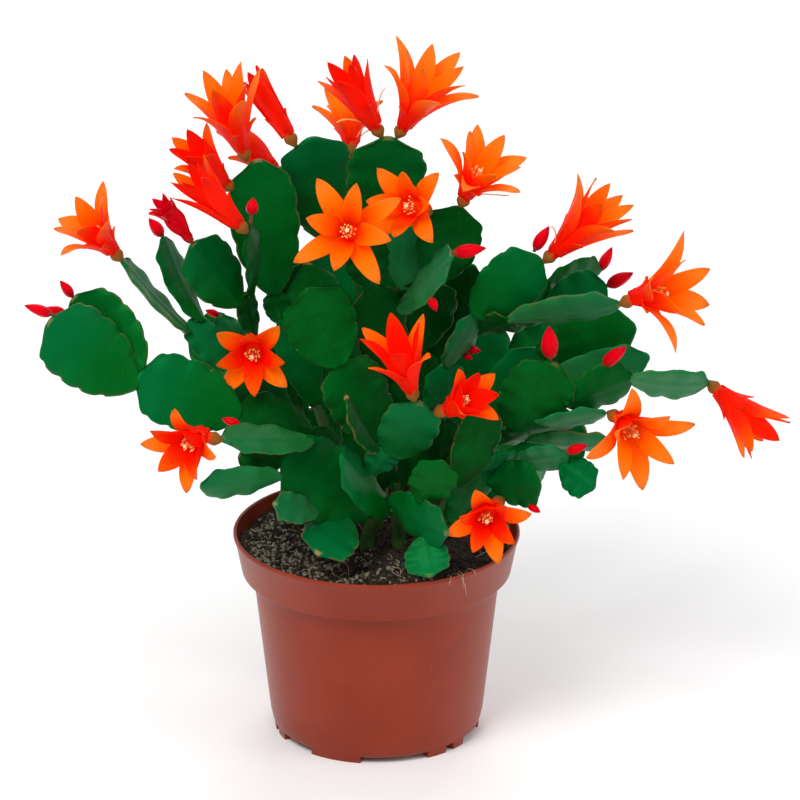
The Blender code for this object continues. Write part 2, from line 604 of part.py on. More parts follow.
def make_bloom(name, pads, material):
    """A bloom: its ovary and tube, two layers of pointed petals drawn out of the tube's sides,
    and a tuft of stamens in its mouth."""
    carrier, at, points_to, faces_to, spread, length, number = BLOOMS[name]
    chance = random.Random(name)
    seat = pads[carrier].edge(at, SEAT_GAP)
    ahead = way(*points_to).normalized()
    mouth_way = way(*faces_to).normalized()
    mouth = seat + ahead * TUBE_LENGTH
    sides = 2 * number
    frame = facing_frame(mouth, mouth_way, chance.uniform(0, math.tau))
    side = frame.to_3x3() @ Vector((1, 0, 0))

    def tube_ring(centre, direction, radius):
        """A ring whose corners line up with the mouth's, without twist."""
        first = (side - direction * side.dot(direction)).normalized()
        second = direction.cross(first)
        turns = [math.tau * (i - 0.5) / sides for i in range(sides)]
        return [centre + radius * (math.cos(t) * first + math.sin(t) * second) for t in turns]

    rings = [tube_ring(seat, ahead, 0.7)]
    for along, radius in ((3.6, 2.6), (7.0, 2.1)):
        rings.append(tube_ring(seat + ahead * along, ahead, radius))
    bands = len(rings)
    for height, wider in ((-1.4, 0.6), (0.0, 0.0), (1.2, -0.6)):
        rings.append(tube_ring(mouth + mouth_way * height, mouth_way, MOUTH_RADIUS + wider))
    points, faces = loft(rings)
    faces.pop()
    tuft = len(points) - sides
    faces = [f for f in faces if not is_petal_root(f, bands, sides)]
    room = min(PETAL_WIDTH, petal_room(spread, length, number))
    for layer, layer_spread in ((0, spread), (1, spread * INNER_SPREAD)):
        start = (bands + layer) * sides
        for i in range(layer, sides, 2):
            j = (i + 1) % sides
            root = [start + i, start + j, start + sides + j, start + sides + i]
            angle = math.tau * i / sides
            centre = frame.inverted() @ (sum((points[n] for n in root), Vector()) / 4)
            long = length * chance.uniform(0.9, 1.05)
            wide = room * chance.uniform(0.88, 1.0)
            lean = layer_spread * chance.uniform(0.95, 1.05)
            rows = petal_rows(angle, lean, centre, long, wide)
            for row in rows:
                fresh = list(range(len(points), len(points) + len(row)))
                points += [frame @ p for p in row]
                faces += petal_faces(root, fresh)
                root = fresh
    add_tuft(points, faces, tuft, sides, frame, length if spread > 25 else 2.0)
    return solid(name, points, faces, material)


def petal_faces(low, high):
    """The four sides of a stretch of petal, the thin ones split so that they clear the tube."""
    if len(high) == 1:
        return [(low[a], low[(a + 1) % 4], high[0]) for a in range(4)]
    return [(low[0], low[1], high[1], high[0]),
            (low[1], low[2], high[1]),
            (low[2], high[2], high[1]),
            (low[2], low[3], high[3], high[2]),
            (low[3], low[0], high[0]),
            (low[3], high[0], high[3])]


def is_petal_root(face, bands, sides):
    """Whether a side face of the tube is one that a petal grows from: every other one of the
    two bands at the mouth."""
    level = min(face) // sides - bands
    place_round = min(n % sides for n in face)
    if max(n % sides for n in face) - place_round > 1:
        place_round = sides - 1
    return len(face) == 4 and level in (0, 1) and place_round % 2 == level


def add_tuft(points, faces, start, sides, frame, length):
    """Closes the tube's mouth with a spiky crown of stamens round the style."""
    base = len(points)
    for i in range(sides):
        t = math.tau * (i - 0.5) / sides
        radius, height = (2.6, 0.55) if i % 2 else (0.9, 0.36)
        spot = Vector((radius * math.cos(t), radius * math.sin(t), 1.5 + height * length))
        points.append(frame @ spot)
    for i in range(sides):
        j = (i + 1) % sides
        faces.append((start + i, start + j, base + j, base + i))
    faces.append(tuple(base + i for i in range(sides)))


def make_bud(name, pads, material):
    """A closed bud: a slim foot and three petals wound round each other to a point."""
    carrier, at, points_to, length, width = BUDS[name]
    seat = pads[carrier].edge(at, SEAT_GAP)
    ahead = way(*points_to).normalized()
    side, up = across(ahead)
    rings = []
    for share, radius, twist in ((0, 0.25, 0.0), (0.45, 1.0, 0.35), (1.0, 0.12, 0.8)):
        corners = []
        for i in range(6):
            t = math.tau * i / 6 + twist
            reach = width / 2 * radius * (1.0 if i % 2 else 0.8)
            corners.append(seat + ahead * length * share
                           + reach * (math.cos(t) * side + math.sin(t) * up))
        rings.append(corners)
    return solid(name, *loft(rings), material)


def build():
    for old in list(bpy.data.objects):
        bpy.data.objects.remove(old)
    terracotta = finish("pot_plastic", (0.30, 0.055, 0.03), 0.4)
    peat = finish("peat", (0.02, 0.015, 0.01), 0.95)
    green = finish("pad_skin", (0.01, 0.10, 0.03), 0.45)
    orange = finish("petal", (1.0, 0.12, 0.01), 0.5)
    crimson = finish("bud_skin", (0.6, 0.0, 0.03), 0.45)
    pads = lay_out_pads()
    shapes = [make_pot(terracotta), make_soil(peat)]
    shapes += [make_stem(name, pads, green) for name in STEMS]
    shapes += [make_bloom(name, pads, orange) for name in BLOOMS]
    shapes += [make_bud(name, pads, crimson) for name in BUDS]
    for shape in shapes:
        shape.data.shade_smooth()
        shape.data.set_sharp_from_angle(angle=math.radians(35))


build()
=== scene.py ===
# %% [markdown]
# # A potted easter cactus in flower
# The measured model of this plant is made of plain solids: a pot, its soil, sixteen leafy stems,
# twenty-one blooms and twenty buds. Here each solid gets a finer piece that keeps its place and form. The
# measured model comes in first, and its box is printed at the end beside the box of the finer pieces.

import math
import random

import bpy
import numpy as np
from mathutils import Matrix, Vector, noise


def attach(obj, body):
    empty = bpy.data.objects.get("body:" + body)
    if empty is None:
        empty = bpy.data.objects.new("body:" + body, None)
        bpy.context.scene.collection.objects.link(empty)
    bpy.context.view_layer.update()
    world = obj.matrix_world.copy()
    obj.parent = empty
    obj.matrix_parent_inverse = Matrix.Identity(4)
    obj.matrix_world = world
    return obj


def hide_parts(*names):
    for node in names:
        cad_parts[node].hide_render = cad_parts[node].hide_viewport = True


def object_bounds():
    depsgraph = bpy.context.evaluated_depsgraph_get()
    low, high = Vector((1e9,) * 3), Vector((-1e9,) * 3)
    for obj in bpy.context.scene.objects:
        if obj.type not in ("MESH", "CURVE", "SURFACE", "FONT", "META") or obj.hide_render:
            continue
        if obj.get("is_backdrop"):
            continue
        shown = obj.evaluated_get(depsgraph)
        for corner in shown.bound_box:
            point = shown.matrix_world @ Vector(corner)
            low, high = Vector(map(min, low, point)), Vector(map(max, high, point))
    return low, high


MM = 0.001
UP = Vector((0, 0, 1))
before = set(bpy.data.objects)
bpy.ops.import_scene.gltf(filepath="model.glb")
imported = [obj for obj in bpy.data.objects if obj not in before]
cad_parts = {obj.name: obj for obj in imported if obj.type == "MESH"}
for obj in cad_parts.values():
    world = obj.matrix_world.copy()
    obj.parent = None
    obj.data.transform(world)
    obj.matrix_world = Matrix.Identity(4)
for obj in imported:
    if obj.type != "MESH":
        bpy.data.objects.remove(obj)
measured_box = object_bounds()
print("measured model:", len(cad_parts), "nodes")

# %% [markdown]
# ## Camera
# The photograph looks down on the pot from about 21 degrees above the level, which the ellipse of
# the rim shows. A long lens far away keeps the pot's sides from leaning apart, as in the
# photograph. One millimetre at the middle of the plant is 2.39 pixels of an 800 pixel picture.

# %% Camera
LOOK_DOWN = math.radians(21.3)
CAMERA_DISTANCE = 2.2
PICTURE = 800
PIXELS_PER_MM = 2.39
RIM_PIXEL = (376.5, 529)
POT_HEIGHT = 88.0

pixel = MM / PIXELS_PER_MM
ahead = Vector((0, math.cos(LOOK_DOWN), -math.sin(LOOK_DOWN)))
picture_up = Vector((1, 0, 0)).cross(ahead)
target = UP * POT_HEIGHT * MM
target += Vector((1, 0, 0)) * (PICTURE / 2 - RIM_PIXEL[0]) * pixel
target += picture_up * (RIM_PIXEL[1] - PICTURE / 2) * pixel
bpy.ops.object.select_all(action="DESELECT")
bpy.ops.object.camera_add(location=target - ahead * CAMERA_DISTANCE,
                          rotation=(math.pi / 2 - LOOK_DOWN, 0, 0))
camera = bpy.context.active_object
camera.data.lens = camera.data.sensor_width * CAMERA_DISTANCE / (PICTURE * pixel)
camera.data.clip_end = 20
bpy.context.scene.camera = camera
print("lens:", round(camera.data.lens), "mm")

# %% [markdown]
# ## Floor and light
# The plant was photographed in a bright white studio. One wide floor fills the picture, and three
# large soft lamps do the rest: a main one above the front left, a weaker one from the right and
# one behind that draws a rim of light round the pads. Big lamps give the broad, soft highlights
# that waxy pads show.

# %% Floor and light
FLOOR_SIZE = 16
LIT_HEIGHT = 0.15
WORLD_LIGHT = 0.55
bpy.ops.object.select_all(action="DESELECT")
bpy.ops.mesh.primitive_plane_add(size=FLOOR_SIZE, location=(0, 0, 0))
floor = bpy.context.active_object
floor.name = "floor"
paper = bpy.data.materials.new("studio_paper")
paper.use_nodes = True
paper_shader = paper.node_tree.nodes["Principled BSDF"]
paper_shader.inputs["Base Color"].default_value = (0.9, 0.9, 0.9, 1)
paper_shader.inputs["Roughness"].default_value = 0.9
floor.data.materials.append(paper)
floor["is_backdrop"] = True

# Each lamp: its name, where it hangs and how wide it is, in metres, and its power in watts.
LAMPS = (
    ("main", (-0.6, -1.0, 1.5), 0.8, 21),
    ("side", (1.3, -0.5, 0.8), 0.9, 6),
    ("back", (0.2, 1.2, 1.2), 0.9, 10),
)
for lamp_name, spot, size, power in LAMPS:
    bpy.ops.object.light_add(type="AREA", location=spot)
    lamp = bpy.context.active_object
    lamp.name = "lamp_" + lamp_name
    lamp.data.size = size
    lamp.data.energy = power
    towards = UP * LIT_HEIGHT - Vector(spot)
    lamp.rotation_euler = towards.to_track_quat("-Z", "Y").to_euler()
world = bpy.data.worlds.new("studio")
world.use_nodes = True
background = world.node_tree.nodes["Background"]
background.inputs["Color"].default_value = (1, 1, 1, 1)
background.inputs["Strength"].default_value = WORLD_LIGHT
bpy.context.scene.world = world
bpy.context.scene.view_settings.view_transform = "Standard"
print("lamps:", len(LAMPS))

# %% [markdown]
# ## Tools of the bench
# Operators act on whatever is selected, so each primitive is added with nothing else selected, and
# faces are picked in code by where they are. Modifiers are applied as soon as they are set.

# %% Adding, picking and applying
def only(shape):
    """Makes one object the only one selected, and the active one."""
    bpy.ops.object.select_all(action="DESELECT")
    shape.select_set(True)
    bpy.context.view_layer.objects.active = shape
    return shape


def add(operator, name, **settings):
    """Adds a primitive with nothing else selected."""
    bpy.ops.object.select_all(action="DESELECT")
    operator(**settings)
    shape = bpy.context.active_object
    shape.name = name
    return shape


def pick_faces(shape, wanted):
    """Opens edit mode with the faces selected whose centre and normal are wanted."""
    only(shape)
    mesh = shape.data
    mesh.polygons.foreach_set("select", [False] * len(mesh.polygons))
    mesh.edges.foreach_set("select", [False] * len(mesh.edges))
    mesh.vertices.foreach_set("select", [False] * len(mesh.vertices))
    for face in mesh.polygons:
        face.select = wanted(face.center, face.normal)
    bpy.ops.object.mode_set(mode="EDIT")
    bpy.ops.mesh.select_mode(type="FACE")


def done():
    """Closes edit mode."""
    bpy.ops.object.mode_set(mode="OBJECT")


def apply(shape, kind, **settings):
    """Adds a modifier, sets it and applies it."""
    only(shape)
    modifier = shape.modifiers.new(kind.lower(), kind)
    for key, value in settings.items():
        setattr(modifier, key, value)
    bpy.ops.object.modifier_apply(modifier=modifier.name)
    return shape


# %% [markdown]
# Pads, petals and stamens repeat hundreds of times. Each is modelled once as a flat master, and
# its copies are bent to their places with arrays of numbers, which is fast, and put together in
# one mesh for each stem or bloom. A copy keeps its UV map, and is given numbers of its own, such as
# how far a point is from the pad's edge, for the materials to read.

# %% Masters and their copies
class Master:
    """A modelled shape as arrays, ready to be copied."""

    def __init__(self, shape):
        mesh = shape.data
        self.points = np.zeros(len(mesh.vertices) * 3)
        mesh.vertices.foreach_get("co", self.points)
        self.points = self.points.reshape(-1, 3)
        self.corners = np.zeros(len(mesh.loops), int)
        mesh.loops.foreach_get("vertex_index", self.corners)
        self.starts = np.zeros(len(mesh.polygons), int)
        mesh.polygons.foreach_get("loop_start", self.starts)
        self.uv = np.zeros(len(mesh.loops) * 2)
        if mesh.uv_layers:
            mesh.uv_layers[0].data.foreach_get("uv", self.uv)
        self.uv = self.uv.reshape(-1, 2)
        bpy.data.objects.remove(shape)


class Growth:
    """Collects copies of masters, each with its points, numbers and finish, for one piece."""

    def __init__(self, name, finishes, numbers=()):
        self.name = name
        self.finishes = finishes
        self.numbers = {key: [] for key in numbers}
        self.points, self.corners, self.starts, self.uv, self.slots = [], [], [], [], []
        self.point_count = 0
        self.corner_count = 0

    def put(self, master, points, finish=0, **numbers):
        """Adds a copy of the master with its points, in millimetres."""
        count = len(master.points)
        self.points.append(points)
        self.corners.append(master.corners + self.point_count)
        self.starts.append(master.starts + self.corner_count)
        self.uv.append(master.uv)
        self.slots.append(np.full(len(master.starts), finish))
        for key, values in self.numbers.items():
            values.append(np.broadcast_to(numbers.get(key, 0.0), count))
        self.point_count += count
        self.corner_count += len(master.corners)

    def grown(self):
        """The piece as one object at the origin."""
        mesh = bpy.data.meshes.new(self.name)
        points = np.concatenate(self.points) * MM
        corners = np.concatenate(self.corners)
        starts = np.concatenate(self.starts)
        mesh.vertices.add(len(points))
        mesh.vertices.foreach_set("co", points.ravel())
        mesh.loops.add(len(corners))
        mesh.loops.foreach_set("vertex_index", corners)
        mesh.polygons.add(len(starts))
        mesh.polygons.foreach_set("loop_start", starts)
        mesh.polygons.foreach_set("material_index", np.concatenate(self.slots))
        mesh.polygons.foreach_set("use_smooth", [True] * len(starts))
        mesh.update(calc_edges=True)
        layer = mesh.uv_layers.new(name="UVMap")
        layer.data.foreach_set("uv", np.concatenate(self.uv).ravel())
        for key, values in self.numbers.items():
            field = mesh.attributes.new(key, "FLOAT", "POINT")
            field.data.foreach_set("value", np.concatenate(values).astype(np.float32))
        for finish in self.finishes:
            mesh.materials.append(finish)
        shape = bpy.data.objects.new(self.name, mesh)
        bpy.context.scene.collection.objects.link(shape)
        return shape


def moved(points, matrix):
    """Points as an array, moved by a matrix."""
    turn = np.array(matrix.to_3x3())
    return points @ turn.T + np.array(matrix.translation)


def smooth(low, high, x):
    """Rises gently from 0 at low to 1 at high."""
    t = np.clip((x - low) / (high - low), 0, 1)
    return t * t * (3 - 2 * t)


# %% [markdown]
# ## Shader maths
# A material is a graph of nodes. Written out node by node, a sum of two products takes a page. So a
# small class wraps a socket, and Python's own operators on it add the Math nodes.

# %% Sockets as numbers, and finishes
class Number:
    """A socket whose values can be used in sums."""

    def __init__(self, finish, socket):
        self.finish = finish
        self.socket = socket

    def maths(self, operation, *values):
        """A Math node on sockets or plain values."""
        return self.finish.node("ShaderNodeMath", {"operation": operation}, dict(enumerate(values)))

    def __add__(self, other):
        return self.maths("ADD", self, other)

    def __sub__(self, other):
        return self.maths("SUBTRACT", self, other)

    def __rsub__(self, other):
        return self.maths("SUBTRACT", other, self)

    def __mul__(self, other):
        return self.maths("MULTIPLY", self, other)

    __radd__ = __add__
    __rmul__ = __mul__

    def size(self):
        return self.maths("ABSOLUTE", self)

    def step(self, low, high):
        """0 below low, 1 above high and smooth between. Low above high turns it round."""
        settings = {"interpolation_type": "SMOOTHSTEP"}
        sockets = {0: self, 1: low, 2: high, 3: 0.0, 4: 1.0}
        if low > high:
            sockets = {0: self, 1: high, 2: low, 3: 1.0, 4: 0.0}
        return self.finish.node("ShaderNodeMapRange", settings, sockets)


class Finish:
    """A procedural material and the ways to add to it."""

    def __init__(self, name, **constants):
        self.material = bpy.data.materials.new(name)
        self.material.use_nodes = True
        self.tree = self.material.node_tree
        self.shader = self.tree.nodes["Principled BSDF"]
        for key, value in constants.items():
            self.shader.inputs[key.replace("_", " ")].default_value = value

    def node(self, kind, settings=None, sockets=None, output=0):
        """Adds a node, sets it, links or fills its sockets, and gives one of its outputs."""
        node = self.tree.nodes.new(kind)
        for key, value in (settings or {}).items():
            setattr(node, key, value)
        for key, value in (sockets or {}).items():
            if isinstance(value, Number):
                self.tree.links.new(value.socket, node.inputs[key])
            else:
                node.inputs[key].default_value = value
        return Number(self, node.outputs[output])

    def place(self):
        """Where a point is on the object, in metres."""
        return self.node("ShaderNodeTexCoord", output="Object")

    def from_uv(self, output):
        """One number of the UV map: 0 across the piece, 1 along it."""
        uv = self.node("ShaderNodeTexCoord", output="UV")
        return self.node("ShaderNodeSeparateXYZ", None, {0: uv}, output=output)

    def noise(self, scale, detail=3.0, roughness=0.55, place=None):
        """Noise with a scale in lumps a metre."""
        sockets = {"Vector": place or self.place(), "Scale": scale, "Detail": detail,
                   "Roughness": roughness}
        return self.node("ShaderNodeTexNoise", None, sockets)

    def number(self, name):
        """A number that each point of the mesh carries."""
        return self.node("ShaderNodeAttribute", {"attribute_name": name}, output="Fac")

    def mix(self, share, low, high):
        """A colour between two."""
        low = (*low, 1) if isinstance(low, tuple) else low
        high = (*high, 1) if isinstance(high, tuple) else high
        return self.node("ShaderNodeMix", {"data_type": "RGBA"}, {0: share, 6: low, 7: high},
                         output=2)

    def bump(self, height, distance):
        """Shallow relief: height 0 to 1 over a distance in metres."""
        sockets = {"Strength": 1.0, "Distance": distance, "Height": height}
        return self.node("ShaderNodeBump", None, sockets)

    def set(self, **sockets):
        """Links what varies to the shader, and gives the material."""
        for key, value in sockets.items():
            self.tree.links.new(value.socket, self.shader.inputs[key.replace("_", " ")])
        return self.material


# %% [markdown]
# ## Layout
# These are the measured model's own places and sizes in millimetres, so that the finer pieces fall
# where its solids are. Places are (right of the pot's axis, up from its rim, nearer than its axis),
# as the photograph sees them.

# %% Layout of stems
DEPTH_SPREAD = 1.45
SOIL_TOP = 83.0
FOOT_DEEP = 15.0
FOOT_RADIUS = 3.0
STEM_RADIUS = 2.4

# Each stem: the foot in the soil (x, y), the bend where its first pad starts, and its pads: name,
# the pad that carries it, where round that pad's end, its tip, its width and its turn in degrees.
STEMS = {
    "stem_left_arm": ((-14, -2), (-13, 12, 2), (
        ("arm_1", None, 0, (-27, 42, 6), 20, 30),
        ("arm_2", "arm_1", 0, (-57, 49, 12), 22, 20),
        ("arm_3", "arm_2", -0.1, (-98, 63, 14), 29, 8),
        ("arm_4", "arm_3", -0.3, (-133, 86, 18), 31, 5),
        ("arm_5", "arm_3", 0.35, (-124, 96, 4), 26, -15),
    )),
    "stem_front_left": ((-4, -10), (0, 8, 13), (
        ("front_1", None, 0, (-38, 30, 28), 32, 10),
        ("front_2", "front_1", 0.6, (-62, 38, 38), 18, 50),
        ("front_3", "front_1", 0, (-56, 31, 24), 15, 30),
        ("front_4", "front_1", -0.4, (-71, 19, 38), 18, -50),
        ("front_5", "front_1", -1.1, (-41, 12, 42), 12, 10),
        ("front_6", "front_1", -1.6, (-24, -9, 34), 22, 15),
    )),
    "stem_centre": ((9, -8), (7, 8, 18), (
        ("centre_1", None, 0, (-14, 31, 38), 21, 50),
        ("centre_2", "centre_1", 1.3, (6, 34, 24), 13, 30),
        ("centre_3", "centre_2", 0.5, (18, 53, 34), 23, 12),
        ("centre_4", "centre_2", -0.6, (-12, 55, 30), 20, 75),
        ("centre_5", "centre_1", 2, (29, 0, 41), 19, 35),
        ("centre_6", "centre_5", -1, (27, 29, 38), 18, 10),
        ("centre_7", "centre_5", 0.9, (22, -18, 40), 18, 5),
    )),
    "stem_middle": ((-3, 4), (-1, 12, 0), (
        ("middle_1", None, 0, (3, 38, 8), 18, 40),
        ("middle_2", "middle_1", 0, (-15, 70, 12), 27, 15),
        ("middle_3", "middle_2", -0.1, (-28, 99, 14), 29, 5),
    )),
    "stem_tall_left": ((-12, 10), (-25, 52, -8), (
        ("tall_1", None, 0, (-40, 87, -10), 16, 20),
        ("tall_2", "tall_1", 0, (-43, 99, -14), 10, 0),
        ("tall_3", "tall_2", 0, (-49, 153, -18), 28, 8),
        ("tall_4", "tall_1", 0.9, (-29, 111, -22), 27, 10),
    )),
    "stem_upper_left": ((-21, 19), (-33, 50, -16), (
        ("upper_1", None, 0, (-51, 80, -14), 20, 15),
        ("upper_2", "upper_1", -0.1, (-54, 98, -4), 9, 20),
        ("upper_3", "upper_2", -0.6, (-75, 118, 2), 23, 15),
        ("upper_4", "upper_2", 0.4, (-52, 124, 8), 18, 75),
        ("upper_5", "upper_1", -0.9, (-66, 89, -26), 12, 20),
    )),
    "stem_far_left": ((-24, 8), (-35, 44, -2), (
        ("far_1", None, 0, (-62, 67, 0), 21, 20),
        ("far_2", "far_1", 0, (-77, 87, -3), 13, 15),
        ("far_3", "far_2", -0.5, (-104, 111, 2), 20, 75),
        ("far_4", "far_2", 0.5, (-88, 121, -10), 20, 62),
    )),
    "stem_top": ((0, 18), (-3, 20, -20), (
        ("top_1", None, 0, (-4, 55, -26), 22, 10),
        ("top_2", "top_1", 0, (-8, 88, -28), 24, 15),
        ("top_3", "top_2", -0.5, (-18, 122, -36), 23, 10),
        ("top_4", "top_3", -0.1, (-27, 162, -22), 31, 5),
        ("top_5", "top_2", 0.5, (3, 127, -22), 23, -10),
        ("top_6", "top_5", 0, (5, 162, -16), 32, 3),
    )),
    "stem_upper_right": ((10, 10), (8, 16, -6), (
        ("right_1", None, 0, (10, 47, -6), 20, 25),
        ("right_2", "right_1", 0, (18, 76, -5), 22, 15),
        ("right_3", "right_2", 0, (22, 104, -1), 25, 10),
        ("right_8", "right_2", -1.1, (-2, 102, 3), 22, 15),
        ("right_4", "right_3", 0.2, (34, 133, -2), 25, 10),
        ("right_5", "right_8", 0.8, (31, 113, 21), 19, -55),
        ("right_6", "right_2", 1.0, (40, 110, -14), 18, 20),
        ("right_7", "right_3", -0.6, (12, 128, -10), 17, 10),
        ("right_9", "right_8", -0.1, (-4, 119, 9), 18, 10),
    )),
    "stem_right": ((20, 5), (22, 20, 0), (
        ("reach_1", None, 0, (27, 47, 2), 20, 30),
        ("reach_2", "reach_1", 0, (28, 69, 5), 19, 30),
        ("reach_3", "reach_2", 0.1, (41, 90, 7), 20, 60),
        ("reach_4", "reach_3", -0.2, (67, 112, 5), 24, 15),
        ("reach_5", "reach_3", 0.5, (72, 101, -9), 23, 20),
        ("reach_6", "reach_3", 0.9, (55, 87, 10), 15, 50),
        ("reach_7", "reach_6", 0, (99, 93, 17), 22, 62),
        ("reach_8", "reach_5", 0.6, (95, 101, -10), 22, 20),
        ("reach_9", "reach_5", -0.2, (93, 108, -24), 16, 40),
    )),
    "stem_far_right": ((24, -5), (31, 14, 4), (
        ("far_right_1", None, 0, (45, 38, 8), 21, 30),
        ("far_right_2", "far_right_1", 0.3, (63, 42, 16), 15, 60),
        ("far_right_3", "far_right_2", -0.6, (73, 69, 24), 28, 10),
        ("far_right_4", "far_right_2", 0.1, (93, 49, 25), 20, 70),
        ("far_right_5", "far_right_2", 0.8, (98, 36, 18), 20, 70),
        ("far_right_6", "far_right_3", 0.9, (105, 64, 17), 21, 40),
        ("far_right_7", "far_right_1", -0.5, (67, 75, 0), 21, 20),
        ("far_right_8", "far_right_7", 0, (107, 84, -2), 22, 15),
        ("far_right_9", "far_right_7", 0.8, (112, 72, 8), 17, 20),
        ("far_right_10", "far_right_6", 0, (136, 61, 12), 21, 58),
    )),
    "stem_low_right": ((17, -17), (31, 3, 22), (
        ("low_1", None, 0, (43, 26, 24), 18, 40),
        ("low_2", "low_1", -0.2, (59, 29, 21), 16, 60),
        ("low_3", "low_1", 0.6, (67, 19, 32), 19, 15),
        ("low_4", "low_2", 0, (78, 32, 27), 16, 50),
        ("low_5", "low_4", 0.6, (89, 18, 31), 15, 10),
        ("low_6", "low_1", -0.8, (45, 52, 26), 19, 25),
        ("low_7", "low_1", 1.8, (54, -3, 20), 17, 60),
    )),
    "stem_back_left": ((-14, 30), (-18, 24, -34), (
        ("back_left_1", None, 0, (-29, 50, -42), 22, 15),
        ("back_left_2", "back_left_1", -0.3, (-54, 70, -50), 26, 20),
        ("back_left_3", "back_left_2", 0, (-80, 84, -58), 26, -20),
        ("back_left_4", "back_left_1", 0.5, (-26, 84, -48), 25, 10),
        ("back_left_5", "back_left_4", 0, (-32, 117, -48), 26, 20),
        ("back_left_6", "back_left_1", -0.9, (-60, 48, -62), 24, 35),
    )),
    "stem_back": ((2, 32), (3, 26, -42), (
        ("back_1", None, 0, (3, 54, -52), 22, 10),
        ("back_2", "back_1", -0.6, (-14, 82, -66), 26, 20),
        ("back_3", "back_1", 0.6, (22, 80, -62), 25, -15),
        ("back_4", "back_3", 0, (26, 112, -66), 24, 10),
        ("back_5", "back_1", -0.9, (-26, 40, -80), 24, 40),
        ("back_6", "back_1", 0.9, (24, 36, -84), 24, -40),
    )),
    "stem_back_right": ((16, 26), (19, 24, -30), (
        ("back_right_1", None, 0, (32, 50, -34), 22, -10),
        ("back_right_2", "back_right_1", 0.6, (57, 67, -44), 26, -20),
        ("back_right_3", "back_right_2", 0, (82, 84, -52), 25, 15),
        ("back_right_4", "back_right_1", -0.3, (49, 90, -42), 27, 10),
        ("back_right_5", "back_right_4", 0.3, (59, 110, -52), 21, -10),
    )),
    "stem_side_right": ((28, 16), (37, 12, -16), (
        ("side_1", None, 0, (58, 32, -20), 22, 20),
        ("side_2", "side_1", 0, (88, 42, -24), 25, -15),
        ("side_3", "side_1", -0.8, (78, 66, -20), 22, 20),
        ("side_4", "side_1", 0.8, (70, 20, -42), 20, 40),
    )),
}
print("pads:", sum(len(rows) for _, _, rows in STEMS.values()))

# %% Layout of blooms and buds
# Each bloom: the pad that carries it, where round its end, the way its tube points, the way its
# mouth faces, the spread of its outer petals in degrees, their length, the petals in each of two
# layers, and how red it is: about 0 is orange and 1 is red.
BLOOMS = {
    "bloom_01": ("far_3", 0, (-14, 15, 4), (-13, 14, 7), 44, 22, 4, 0.2),
    "bloom_02": ("upper_4", -0.3, (-22, 21, 5), (-22, 21, 5), 18, 26, 4, 0.9),
    "bloom_03": ("tall_3", -0.35, (-9, 26, 3), (-9, 26, 5), 34, 29, 5, 0.2),
    "bloom_04": ("tall_3", -0.65, (-19, 17, 12), (-17, 18, 12), 22, 22, 4, 0.7),
    "bloom_05": ("top_4", -0.8, (-12, 10, -10), (-12, 10, -10), 18, 16, 3, 0.4),
    "bloom_06": ("top_4", -0.4, (-18, 28, -8), (-18, 28, -8), 8, 24, 3, 1.0),
    "bloom_07": ("top_4", 0.75, (1, 14, -10), (-2, 18, -12), 42, 19, 4, -0.1),
    "bloom_08": ("top_6", -0.2, (-15, 25, 4), (-15, 25, 4), 20, 26, 4, 0.9),
    "bloom_09": ("top_6", 0.25, (13, 22, 6), (12, 22, 7), 40, 32, 5, 0.1),
    "bloom_10": ("right_9", 0, (-10, 4, 10), (-2, 1, 20), 74, 23, 4, 0.2),
    "bloom_11": ("right_4", -0.6, (-10, 2, 12), (-10, 2, 18), 64, 19, 4, 0.3),
    "bloom_12": ("right_4", 0.05, (10, 20, 8), (11, 18, 11), 48, 24, 5, 0.1),
    "bloom_13": ("reach_4", 0.2, (26, 24, 3), (26, 24, 4), 30, 31, 5, 0.2),
    "bloom_14": ("reach_7", 0, (24, 8, 8), (22, 2, 13), 52, 28, 4, 0.1),
    "bloom_15": ("far_right_10", 0, (14, -13, 8), (20, -19, 5), 30, 26, 4, 0.4),
    "bloom_16": ("far_right_4", 0.3, (9, -6, 12), (5, -7, 14), 56, 26, 4, 0.15),
    "bloom_17": ("far_1", 0.6, (3, 5, 11), (-1, -6, 16), 56, 20, 4, 0.45),
    "bloom_18": ("front_2", 0, (-20, 1, 8), (-9, -7, 14), 52, 20, 4, 0.5),
    "bloom_19": ("low_3", 1.5, (-9, -7, 11), (0, -8, 16), 55, 19, 4, 0.5),
    "bloom_20": ("centre_3", -0.25, (-7, 22, 6), (-7, 22, 8), 38, 26, 4, 0.6),
    "bloom_21": ("centre_3", 0.5, (15, 6, 8), (12, 7, 12), 32, 18, 4, 0.9),
}

